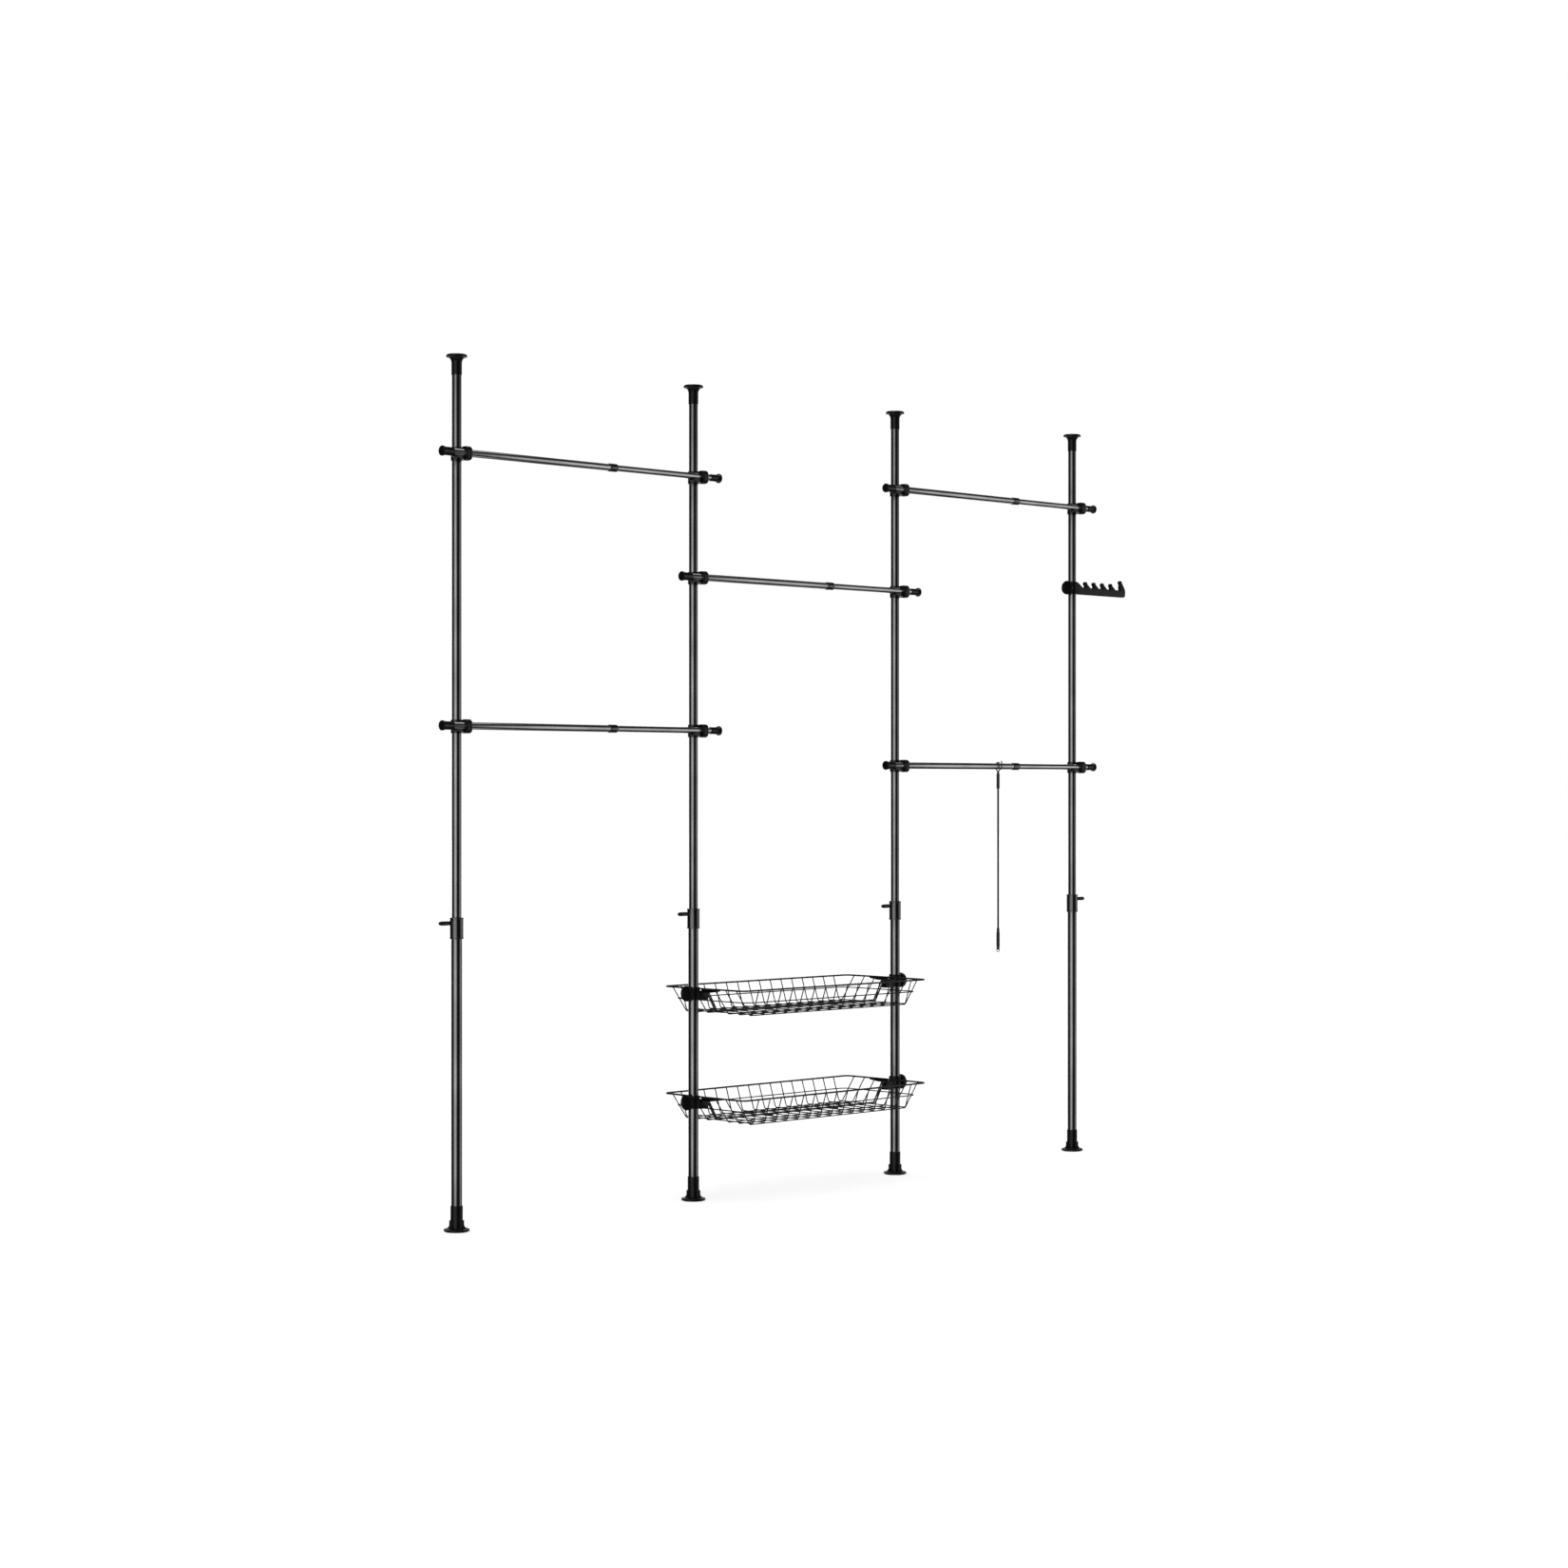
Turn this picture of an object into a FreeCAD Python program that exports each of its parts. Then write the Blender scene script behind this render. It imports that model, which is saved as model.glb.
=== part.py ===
import FreeCAD, Part
import math
import os

from FreeCAD import Vector

# Clamp wardrobe: four telescopic poles between floor and ceiling carry five telescopic clothes rails,
# two wire baskets, a hook rack and a reacher rod.
# Frame: millimetres, +Z up, +X along the row of poles, -Y to the front.
# The origin is on the floor, on the pole line, half way along the overall length.

# Overall sizes
HEIGHT = 2550.0
BAY_LENGTH = 926.0
LEFT_BAY_STRETCH = 19.0

# Clearances
SEAT_GAP = 0.05
SLIDE_GAP = 0.3
SCREW_GAP = 0.1

# Poles
LOWER_TUBE_RADIUS = 16.0
LOWER_TUBE_WALL = 1.5
POLE_SLIDE_GAP = 0.5
UPPER_TUBE_WALL = 1.5
POLE_OVERLAP = 400.0

# Feet
FOOT_PAD_RADIUS = 33.0
FOOT_PAD_THICKNESS = 2.0
FOOT_FLANGE_RADIUS = 38.0
FOOT_FLANGE_THICKNESS = 6.0
FOOT_FLANGE_CHAMFER = 1.5
FOOT_SEAT_THICKNESS = 2.0
FOOT_SLEEVE_WALL = 2.0
FOOT_SLEEVE_HEIGHT = 67.0
FOOT_RIB_COUNT = 6
FOOT_RIB_THICKNESS = 3.5
FOOT_RIB_HEIGHT = 25.0
FOOT_RIB_SHOULDER = 10.0
FOOT_RIB_TOP_REACH = 3.8
FOOT_RIB_FOOT_REACH = 16.0
FOOT_RIB_KNEE_REACH = 8.0
FOOT_RIB_KNEE_HEIGHT = 3.3
FOOT_RIB_PHASE = 15.0

# Ceiling caps
CAP_PAD_RADIUS = 28.0
CAP_PAD_THICKNESS = 2.0
CAP_DISC_RADIUS = 31.0
CAP_DISC_THICKNESS = 6.0
CAP_FLARE_HEIGHT = 18.0
CAP_SLEEVE_WALL = 1.3
CAP_SLEEVE_HEIGHT = 33.0
CAP_SEAT_DEPTH = 8.0

# Lock collars and their screws
COLLAR_BOTTOM = 851.0
COLLAR_HEIGHT = 62.0
COLLAR_WALL = 3.7
COLLAR_LIP_HEIGHT = 3.5
COLLAR_LIP_REACH = 1.0
COLLAR_SEAT_DEPTH = 36.0
LOCK_SCREW_HEIGHT = 46.0
LOCK_SCREW_RADIUS = 3.0
LOCK_BOSS_RADIUS = 7.5
LOCK_BOSS_REACH = 3.5
LOCK_HANDLE_LENGTH = 41.0
LOCK_HANDLE_RADIUS = 6.35
LOCK_HANDLE_NECK = 4.5
LOCK_HANDLE_TAPER = 7.0
LOCK_HANDLE_NOSE = 4.0
LOCK_HANDLE_TIP_RADIUS = 4.35

# Rails
RAIL_TUBE_RADIUS = 11.0
RAIL_TUBE_WALL = 1.2
RAIL_SLIDE_GAP = 0.3
RAIL_TO_POLE_GAP = 7.0
RAIL_OVERHANG = 82.0
RAIL_RING_PLACE = 578.0
RAIL_OVERLAP = 290.0
RAIL_1_DROP = 288.0
RAIL_2_DROP = 1080.0
RAIL_3_DROP = 602.0
RAIL_4_DROP = 263.0
RAIL_5_DROP = 1184.0
RAIL_LEFT_POLES = {1: 1, 2: 1, 3: 2, 4: 3, 5: 3}

# Slide rings and end caps of the rails
RING_LENGTH = 30.0
RING_WALL = 1.6
RING_SEAT = 20.0
END_CAP_LENGTH = 41.5
END_CAP_FACE = 8.0
END_CAP_WALL = 1.5
END_CAP_FLARE_RADIUS = 15.0
END_CAP_FLARE_LENGTH = 15.0
END_CAP_EDGE = 2.5

# Cross clamps
CLAMP_POLE_WALL = 3.0
CLAMP_BLOCK_LENGTH = 20.0
CLAMP_BLOCK_WALL = 5.5
CLAMP_TOP_WALL = 7.0
CLAMP_BOTTOM_WALL = 10.0
CLAMP_CRADLE_LENGTH = 40.0
CLAMP_CRADLE_HALF_WIDTH = 8.0
CLAMP_CRADLE_TIP = 2.5
CLAMP_CRADLE_WRAP = 5.5

# Wire baskets
UPPER_BASKET_HEIGHT = 660.0
LOWER_BASKET_HEIGHT = 320.0
BASKET_WIDTH = 363.0
BASKET_DEPTH = 77.0
BASKET_END_GAP = 42.0
BASKET_RIM_RADIUS = 2.5
BASKET_RIM_CORNER = 25.0
BASKET_RIM_CHORDS = 3
BASKET_HOOP_CORNER = 12.0
BASKET_WIRE_RADIUS = 1.5
BASKET_WIRE_BEND = 9.0
BASKET_WIRE_MARGIN = 7.0
BASKET_LONG_SLOPE = 26.0
BASKET_END_SLOPE = 60.0
BASKET_CROSS_COUNT = 15
BASKET_LENGTHWISE_COUNT = 7
BASKET_ROD_RADIUS = 2.2
BASKET_ROD_SPACING = 8.4
BASKET_ROD_BEND = 8.0
BASKET_ROD_OVERHANG = 7.0
BASKET_ROD_LEAN = 0.6
BASKET_ROD_DROP = 20.0
BASKET_ROD_SEAT = 10.0
BASKET_CLIP_LENGTH = 14.0
BASKET_CLIP_HALF_WIDTH = 8.0
BASKET_CLIP_DROP = 8.0
BASKET_CLIP_RISE = 1.0
BASKET_CLIP_GAPS = (-2.5, 3.5)

# Basket brackets and the round knobs of all pole clamps
BRACKET_WALL = 4.0
BRACKET_HEIGHT = 40.0
BRACKET_BLOCK_REACH = 55.0
BRACKET_BLOCK_HALF_WIDTH = 11.0
BRACKET_BLOCK_HEIGHT = 30.0
BRACKET_BLOCK_FILLET = 3.5
BRACKET_ARM_LENGTH = 76.0
BRACKET_ARM_HEIGHT = 8.0
BRACKET_ARM_WALL = 6.0
BRACKET_ARM_TIP = 3.0
BRACKET_KNOB_DROP = 12.0
KNOB_RADIUS = 23.0
KNOB_THICKNESS = 12.5
KNOB_CHAMFER = 2.5
KNOB_STANDOFF = 1.5
KNOB_SCREW_RADIUS = 4.0
KNOB_BOSS_RADIUS = 10.0

# Hook rack
RACK_DROP = 546.0
RACK_POLE_WALL = 4.0
RACK_HEIGHT = 44.0
RACK_REACH = 296.0
RACK_ARM_THICKNESS = 8.0
RACK_ARM_HEIGHT = 27.0
RACK_HOOK_COUNT = 4
RACK_FIRST_HOOK = 73.0
RACK_HOOK_PITCH = 47.4
RACK_BULB_RADIUS = 5.0
RACK_HOOK_HEIGHT = 20.0
RACK_HOOK_SLOPE = 26.0
RACK_ROOT_LENGTH = 11.0
RACK_END_HOOK_HEIGHT = 33.0
RACK_END_SHOULDER = 9.0
RACK_END_SHOULDER_HEIGHT = 13.5
RACK_ARM_CORNER = 12.0

# Reacher rod
REACHER_PLACE = 488.0
REACHER_WIRE_RADIUS = 2.0
REACHER_WIRE_WEB = 1.0
REACHER_HOOK_TURN = 30.0
REACHER_HOOK_STEPS = 6
REACHER_NECK = 14.0
REACHER_BEND = 5.0
REACHER_KNEE = 5.5
REACHER_PRONG_GAP = 2.5
REACHER_PRONG_RISE = 8.0
FERRULE_RADIUS = 5.5
FERRULE_LENGTH = 52.0
FERRULE_WIRE_SEAT = 14.0
FERRULE_ROD_SEAT = 20.0
ROD_RADIUS = 3.3
ROD_LENGTH = 540.0
GRIP_RADIUS = 6.0
GRIP_LENGTH = 76.0
GRIP_TAPER = 22.0
GRIP_SEAT = 40.0
GRIP_EDGE = 1.0
GRIP_LIP = 1.0
PULL_RING_RADIUS = 8.0
PULL_RING_WIRE = 1.2
PULL_RING_STEPS = 16
PULL_RING_EYE = 2.0
PULL_RING_EYE_MARGIN = 5.0
PULL_RING_TANG = 2.0
PULL_RING_TANG_HEIGHT = 10.0

X_AXIS = Vector(1, 0, 0)
Y_AXIS = Vector(0, 1, 0)
Z_AXIS = Vector(0, 0, 1)
ORIGIN = Vector(0, 0, 0)
SIN_45 = math.sqrt(0.5)
MITRE_CORNERS = 1
WIRE_SIDES = 8

# Sizes that follow from the ones above
LEFT_BAY = BAY_LENGTH + LEFT_BAY_STRETCH
ROW_LENGTH = LEFT_BAY + 2 * BAY_LENGTH
FIRST_POLE_X = (RAIL_OVERHANG - ROW_LENGTH - RACK_REACH) / 2
POLE_X = {
    1: FIRST_POLE_X,
    2: FIRST_POLE_X + LEFT_BAY,
    3: FIRST_POLE_X + LEFT_BAY + BAY_LENGTH,
    4: FIRST_POLE_X + ROW_LENGTH,
}
UPPER_TUBE_RADIUS = LOWER_TUBE_RADIUS - LOWER_TUBE_WALL - POLE_SLIDE_GAP
FOOT_FLANGE_TOP = FOOT_PAD_THICKNESS + FOOT_FLANGE_THICKNESS
LOWER_TUBE_BOTTOM = FOOT_FLANGE_TOP + FOOT_SEAT_THICKNESS
LOWER_TUBE_TOP = COLLAR_BOTTOM + COLLAR_SEAT_DEPTH
UPPER_TUBE_BOTTOM = LOWER_TUBE_TOP - POLE_OVERLAP
UPPER_TUBE_TOP = HEIGHT - CAP_PAD_THICKNESS - CAP_SEAT_DEPTH
INNER_RAIL_RADIUS = RAIL_TUBE_RADIUS - RAIL_TUBE_WALL - RAIL_SLIDE_GAP
RAIL_Y = -(UPPER_TUBE_RADIUS + RAIL_TO_POLE_GAP + RAIL_TUBE_RADIUS)
RAIL_TUBE_END = RAIL_OVERHANG - END_CAP_FACE - SEAT_GAP
RAIL_Z = {
    1: HEIGHT - RAIL_1_DROP,
    2: HEIGHT - RAIL_2_DROP,
    3: HEIGHT - RAIL_3_DROP,
    4: HEIGHT - RAIL_4_DROP,
    5: HEIGHT - RAIL_5_DROP,
}
MIDDLE_X = (POLE_X[2] + POLE_X[3]) / 2
BRACKET_BORE = LOWER_TUBE_RADIUS + SLIDE_GAP
BASKET_HEIGHTS = {"upper": UPPER_BASKET_HEIGHT, "lower": LOWER_BASKET_HEIGHT}
RIM_HALF_LENGTH = BAY_LENGTH / 2 - BASKET_END_GAP
RIM_HALF_WIDTH = BASKET_WIDTH / 2
BASKET_LEG_INSET = BASKET_RIM_RADIUS + BASKET_WIRE_RADIUS + SEAT_GAP
FLOOR_HALF_LENGTH = RIM_HALF_LENGTH - BASKET_LEG_INSET - BASKET_END_SLOPE
FLOOR_HALF_WIDTH = RIM_HALF_WIDTH - BASKET_LEG_INSET - BASKET_LONG_SLOPE
BASKET_END_DEPTH = BASKET_DEPTH + 2 * BASKET_WIRE_RADIUS + SEAT_GAP
BASKET_ROD_DEPTH = BASKET_DEPTH - BASKET_WIRE_RADIUS - BASKET_ROD_RADIUS - SEAT_GAP
REACHER_WIRE_Y = REACHER_WIRE_WEB / 2 + REACHER_WIRE_RADIUS + SEAT_GAP
FERRULE_TOP = -(RAIL_TUBE_RADIUS + REACHER_NECK)
ROD_TOP = FERRULE_TOP - FERRULE_LENGTH + FERRULE_ROD_SEAT
GRIP_BOTTOM = ROD_TOP - ROD_LENGTH - GRIP_LENGTH + GRIP_SEAT


def moved(shape, x=0.0, y=0.0, z=0.0):
    """A copy of the shape, shifted."""
    copy = shape.copy()
    copy.translate(Vector(x, y, z))
    return copy


def turned_half(shape):
    """A copy of the shape, turned by half a turn about the Z axis."""
    copy = shape.copy()
    copy.rotate(ORIGIN, Z_AXIS, 180)
    return copy


def fused(shapes):
    """One solid made of touching shapes, without seams between coplanar faces."""
    return shapes[0].multiFuse(shapes[1:]).removeSplitter()


def cylinder(radius, start, end, axis=Z_AXIS):
    """A cylinder about an axis through the origin, between two places along the axis."""
    return Part.makeCylinder(radius, end - start, axis * start, axis)


def tube(radius, bore, start, end, axis=Z_AXIS):
    """A hollow cylinder about an axis through the origin."""
    return cylinder(radius, start, end, axis).cut(cylinder(bore, start, end, axis))


def block(x0, x1, y0, y1, z0, z1):
    """A box between six planes."""
    return Part.makeBox(x1 - x0, y1 - y0, z1 - z0, Vector(x0, y0, z0))


def outline_face(points):
    """A flat face with straight edges."""
    return Part.Face(Part.makePolygon(points + points[:1]))


def turned_profile(edges):
    """A solid turned from a closed profile of edges in the XZ plane about the Z axis."""
    return Part.Face(Part.Wire(edges)).revolve(ORIGIN, Z_AXIS, 360)


def profile_point(radius, z):
    """A point of a turned profile."""
    return Vector(radius, 0, z)


def line(start, end):
    """A straight edge."""
    return Part.LineSegment(start, end).toShape()


def polyline(points):
    """Straight edges through the points."""
    return [line(a, b) for a, b in zip(points, points[1:])]


def bent(points, bend, steps=1, closed=False):
    """Points of a line whose corners are replaced by chords of tangent arcs."""
    count = len(points)
    made = []
    for i, here in enumerate(points):
        if not closed and i in (0, count - 1):
            made.append(here)
            continue
        back = (points[i - 1] - here).normalize()
        ahead = (points[(i + 1) % count] - here).normalize()
        half_turn = back.getAngle(ahead) / 2
        centre = here + (back + ahead).normalize() * (bend / math.sin(half_turn))
        start = here + back * (bend / math.tan(half_turn)) - centre
        axis = back.cross(ahead)
        turn = math.degrees(math.pi - 2 * half_turn)
        for step in range(steps + 1):
            spoke = FreeCAD.Rotation(axis, -turn * step / steps).multVec(start)
            made.append(centre + spoke)
    return made


def wire_rod(points, radius, closed=False):
    """A thin wire along straight runs with mitred corners.

    Its section has flat sides, with corners on the wire's round outline.
    """
    if closed:
        start = (points[-1] + points[0]) * 0.5
        points = [start] + points + [start]
    heading = points[1] - points[0]
    turn = FreeCAD.Rotation(Z_AXIS, heading)
    corners = []
    for i in range(WIRE_SIDES):
        angle = 2 * math.pi * (i + 0.5) / WIRE_SIDES
        corners.append(points[0] + turn.multVec(Vector(math.cos(angle), math.sin(angle), 0) * radius))
    section = Part.makePolygon(corners + corners[:1])
    return Part.Wire(polyline(points)).makePipeShell([section], True, False, MITRE_CORNERS)


def foot():
    """Ribbed foot: flange, sleeve for the lower tube and gusset ribs, with its rubber pad."""
    bore = LOWER_TUBE_RADIUS + SEAT_GAP
    sleeve = bore + FOOT_SLEEVE_WALL
    sleeve_top = FOOT_FLANGE_TOP + FOOT_SLEEVE_HEIGHT
    pad = cylinder(FOOT_PAD_RADIUS, 0, FOOT_PAD_THICKNESS)
    body = turned_profile(polyline([
        profile_point(0, FOOT_PAD_THICKNESS),
        profile_point(FOOT_FLANGE_RADIUS, FOOT_PAD_THICKNESS),
        profile_point(FOOT_FLANGE_RADIUS, FOOT_FLANGE_TOP - FOOT_FLANGE_CHAMFER),
        profile_point(FOOT_FLANGE_RADIUS - FOOT_FLANGE_CHAMFER, FOOT_FLANGE_TOP),
        profile_point(sleeve, FOOT_FLANGE_TOP),
        profile_point(sleeve, sleeve_top),
        profile_point(bore, sleeve_top),
        profile_point(bore, LOWER_TUBE_BOTTOM),
        profile_point(0, LOWER_TUBE_BOTTOM),
        profile_point(0, FOOT_PAD_THICKNESS),
    ]))
    rib_root = (bore + sleeve) / 2
    toe = profile_point(sleeve + FOOT_RIB_FOOT_REACH, FOOT_FLANGE_TOP)
    shoulder = profile_point(sleeve + FOOT_RIB_TOP_REACH, FOOT_FLANGE_TOP + FOOT_RIB_SHOULDER)
    top = profile_point(sleeve + FOOT_RIB_TOP_REACH, FOOT_FLANGE_TOP + FOOT_RIB_HEIGHT)
    root_top = profile_point(rib_root, FOOT_FLANGE_TOP + FOOT_RIB_HEIGHT)
    root_low = profile_point(rib_root, FOOT_FLANGE_TOP - FOOT_FLANGE_CHAMFER)
    toe_low = profile_point(toe.x, root_low.z)
    knee = profile_point(sleeve + FOOT_RIB_KNEE_REACH, FOOT_FLANGE_TOP + FOOT_RIB_KNEE_HEIGHT)
    rib_outline = outline_face([toe, knee, shoulder, top, root_top, root_low, toe_low])
    rib = rib_outline.extrude(Y_AXIS * FOOT_RIB_THICKNESS)
    rib.translate(Y_AXIS * (-FOOT_RIB_THICKNESS / 2))
    ribs = []
    for i in range(FOOT_RIB_COUNT):
        copy = rib.copy()
        copy.rotate(ORIGIN, Z_AXIS, FOOT_RIB_PHASE + i * 360 / FOOT_RIB_COUNT)
        ribs.append(copy)
    return [fused([body] + ribs), pad]


def ceiling_cap():
    """Trumpet cap on the upper tube's end, with its rubber pad against the ceiling."""
    bore = UPPER_TUBE_RADIUS + SEAT_GAP
    sleeve = bore + CAP_SLEEVE_WALL
    disc_top = HEIGHT - CAP_PAD_THICKNESS
    disc_bottom = disc_top - CAP_DISC_THICKNESS
    flare_bottom = disc_bottom - CAP_FLARE_HEIGHT
    sleeve_bottom = flare_bottom - CAP_SLEEVE_HEIGHT
    flare_top = profile_point(CAP_DISC_RADIUS, disc_bottom)
    flare_low = profile_point(sleeve, flare_bottom)
    flare_middle = profile_point(
        sleeve + (CAP_DISC_RADIUS - sleeve) * (1 - SIN_45),
        flare_bottom + CAP_FLARE_HEIGHT * SIN_45,
    )
    edges = polyline([
        flare_middle,
        flare_low,
        profile_point(sleeve, sleeve_bottom),
        profile_point(bore, sleeve_bottom),
        profile_point(bore, UPPER_TUBE_TOP),
        profile_point(0, UPPER_TUBE_TOP),
        profile_point(0, disc_top),
        profile_point(CAP_DISC_RADIUS, disc_top),
        flare_top,
        flare_middle,
    ])
    pad = cylinder(CAP_PAD_RADIUS, disc_top, HEIGHT)
    return [turned_profile(edges), pad]


def lower_tube():
    """Lower pole tube, from the seat in the foot to the step in the collar."""
    bore = LOWER_TUBE_RADIUS - LOWER_TUBE_WALL
    return tube(LOWER_TUBE_RADIUS, bore, LOWER_TUBE_BOTTOM, LOWER_TUBE_TOP)


def upper_tube():
    """Upper pole tube, from inside the lower tube to the ceiling cap."""
    bore = UPPER_TUBE_RADIUS - UPPER_TUBE_WALL
    return tube(UPPER_TUBE_RADIUS, bore, UPPER_TUBE_BOTTOM, UPPER_TUBE_TOP)


def lock_collar():
    """Stepped collar with two lips, and a boss for the lock screw on its -X side."""
    seat = LOWER_TUBE_RADIUS + SEAT_GAP
    guide = UPPER_TUBE_RADIUS + SLIDE_GAP
    radius = seat + COLLAR_WALL
    lip = radius + COLLAR_LIP_REACH
    top = COLLAR_BOTTOM + COLLAR_HEIGHT
    screw_z = COLLAR_BOTTOM + LOCK_SCREW_HEIGHT
    boss = cylinder(LOCK_BOSS_RADIUS, guide, radius + LOCK_BOSS_REACH, X_AXIS * -1)
    hole = cylinder(LOCK_SCREW_RADIUS + SCREW_GAP, 0, radius + LOCK_BOSS_REACH, X_AXIS * -1)
    body = fused([
        cylinder(radius, COLLAR_BOTTOM, top),
        cylinder(lip, COLLAR_BOTTOM, COLLAR_BOTTOM + COLLAR_LIP_HEIGHT),
        cylinder(lip, top - COLLAR_LIP_HEIGHT, top),
        moved(boss, z=screw_z),
    ])
    body = body.cut(cylinder(seat, COLLAR_BOTTOM, LOWER_TUBE_TOP + SEAT_GAP))
    body = body.cut(cylinder(guide, COLLAR_BOTTOM, top))
    return body.cut(moved(hole, z=screw_z))


def lock_screw():
    """Screw that presses on the upper tube, with a bullet-shaped handle."""
    radius = LOWER_TUBE_RADIUS + SEAT_GAP + COLLAR_WALL
    handle_start = radius + LOCK_BOSS_REACH + SLIDE_GAP
    handle_end = handle_start + LOCK_HANDLE_LENGTH
    tip = UPPER_TUBE_RADIUS + SLIDE_GAP
    handle = turned_profile(polyline([
        profile_point(0, handle_end),
        profile_point(0, tip),
        profile_point(LOCK_SCREW_RADIUS, tip),
        profile_point(LOCK_SCREW_RADIUS, handle_start),
        profile_point(LOCK_HANDLE_NECK, handle_start),
        profile_point(LOCK_HANDLE_RADIUS, handle_start + LOCK_HANDLE_TAPER),
        profile_point(LOCK_HANDLE_RADIUS, handle_end - LOCK_HANDLE_NOSE),
        profile_point(LOCK_HANDLE_TIP_RADIUS, handle_end),
        profile_point(0, handle_end),
    ]))
    handle.rotate(ORIGIN, Y_AXIS, -90)
    return moved(handle, z=COLLAR_BOTTOM + LOCK_SCREW_HEIGHT)


def outer_rail_tube():
    """Outer rail tube along X, measured from the left pole's axis."""
    bore = RAIL_TUBE_RADIUS - RAIL_TUBE_WALL
    end = RAIL_RING_PLACE - RING_LENGTH / 2 + RING_SEAT
    return tube(RAIL_TUBE_RADIUS, bore, -RAIL_TUBE_END, end, X_AXIS)


def inner_rail_tube(bay):
    """Inner rail tube along X, measured from the left pole's axis."""
    bore = INNER_RAIL_RADIUS - RAIL_TUBE_WALL
    start = RAIL_RING_PLACE - RAIL_OVERLAP
    return tube(INNER_RAIL_RADIUS, bore, start, bay + RAIL_TUBE_END, X_AXIS)


def slide_ring():
    """Ring on the outer rail tube's end, whose lip guides the inner tube."""
    seat = RAIL_TUBE_RADIUS + SEAT_GAP
    start = RAIL_RING_PLACE - RING_LENGTH / 2
    end = start + RING_LENGTH
    guide = INNER_RAIL_RADIUS + SLIDE_GAP
    ring = tube(seat + RING_WALL, guide, start, end, X_AXIS)
    return ring.cut(cylinder(seat, start, start + RING_SEAT + SEAT_GAP, X_AXIS))


def end_cap(tube_radius):
    """Trumpet-shaped cap over a rail tube's end, about the Z axis with its face at 0, open upwards."""
    bore = tube_radius + SEAT_GAP
    sleeve = bore + END_CAP_WALL
    return turned_profile(polyline([
        profile_point(0, 0),
        profile_point(END_CAP_FLARE_RADIUS, 0),
        profile_point(END_CAP_FLARE_RADIUS, END_CAP_EDGE),
        profile_point(sleeve, END_CAP_FLARE_LENGTH),
        profile_point(sleeve, END_CAP_LENGTH),
        profile_point(bore, END_CAP_LENGTH),
        profile_point(bore, END_CAP_FACE),
        profile_point(0, END_CAP_FACE),
        profile_point(0, 0),
    ]))


def left_end_cap():
    """Cap on the outer tube, measured from the left pole's axis."""
    cap = end_cap(RAIL_TUBE_RADIUS)
    cap.rotate(ORIGIN, Y_AXIS, 90)
    return moved(cap, x=-RAIL_OVERHANG)


def right_end_cap():
    """Cap on the inner tube, measured from the right pole's axis."""
    cap = end_cap(INNER_RAIL_RADIUS)
    cap.rotate(ORIGIN, Y_AXIS, -90)
    return moved(cap, x=RAIL_OVERHANG)


def cross_clamp(tube_radius):
    """Clamp between pole and rail, measured from the pole's axis at the height of the rail's axis."""
    bore = UPPER_TUBE_RADIUS + SLIDE_GAP
    rail_bore = tube_radius + SEAT_GAP
    top = RAIL_TUBE_RADIUS + CLAMP_TOP_WALL
    bottom = -(RAIL_TUBE_RADIUS + CLAMP_BOTTOM_WALL)
    front = RAIL_Y - RAIL_TUBE_RADIUS - CLAMP_BLOCK_WALL
    bow = (RAIL_TUBE_RADIUS + CLAMP_BLOCK_WALL) * SIN_45
    pole_ring = cylinder(bore + CLAMP_POLE_WALL, bottom, top)
    low_front = Vector(0, front, 0)
    low_bottom = Vector(0, RAIL_Y, bottom)
    low_middle = Vector(0, RAIL_Y - bow, bottom * SIN_45)
    back_bottom = Vector(0, 0, bottom)
    back_top = Vector(0, 0, top)
    front_top = Vector(0, front, top)
    edges = [Part.Arc(low_front, low_middle, low_bottom).toShape()]
    edges += polyline([low_bottom, back_bottom, back_top, front_top, low_front])
    housing = Part.Face(Part.Wire(edges)).extrude(X_AXIS * CLAMP_BLOCK_LENGTH)
    cradle = outline_face([
        Vector(0, 0, bottom),
        Vector(0, 0, 0),
        Vector(-CLAMP_CRADLE_LENGTH, 0, 0),
        Vector(-CLAMP_CRADLE_LENGTH, 0, -RAIL_TUBE_RADIUS - CLAMP_CRADLE_TIP),
    ]).extrude(Y_AXIS * (2 * CLAMP_CRADLE_HALF_WIDTH))
    cradle.translate(Vector(0, RAIL_Y - CLAMP_CRADLE_HALF_WIDTH, 0))
    room_above = block(-CLAMP_CRADLE_LENGTH, 0, front, RAIL_Y + CLAMP_CRADLE_HALF_WIDTH,
                       -CLAMP_CRADLE_WRAP, 0)
    clamp = fused([pole_ring, housing, cradle.cut(room_above)])
    clamp = clamp.cut(cylinder(bore, bottom, top))
    rail_hole = moved(cylinder(rail_bore, -CLAMP_CRADLE_LENGTH, CLAMP_BLOCK_LENGTH, X_AXIS), y=RAIL_Y)
    return clamp.cut(rail_hole)


def rectangle(half_length, half_width, z):
    """Corner points of a level rectangle about the basket's middle."""
    return [
        Vector(half_length, -half_width, z),
        Vector(half_length, half_width, z),
        Vector(-half_length, half_width, z),
        Vector(-half_length, -half_width, z),
    ]


def basket_rim(rim_z):
    """Thick rim wire, a rounded rectangle, about the basket's middle."""
    corners = rectangle(RIM_HALF_LENGTH, RIM_HALF_WIDTH, rim_z)
    path = bent(corners, BASKET_RIM_CORNER, BASKET_RIM_CHORDS, closed=True)
    return wire_rod(path, BASKET_RIM_RADIUS, closed=True)


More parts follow.
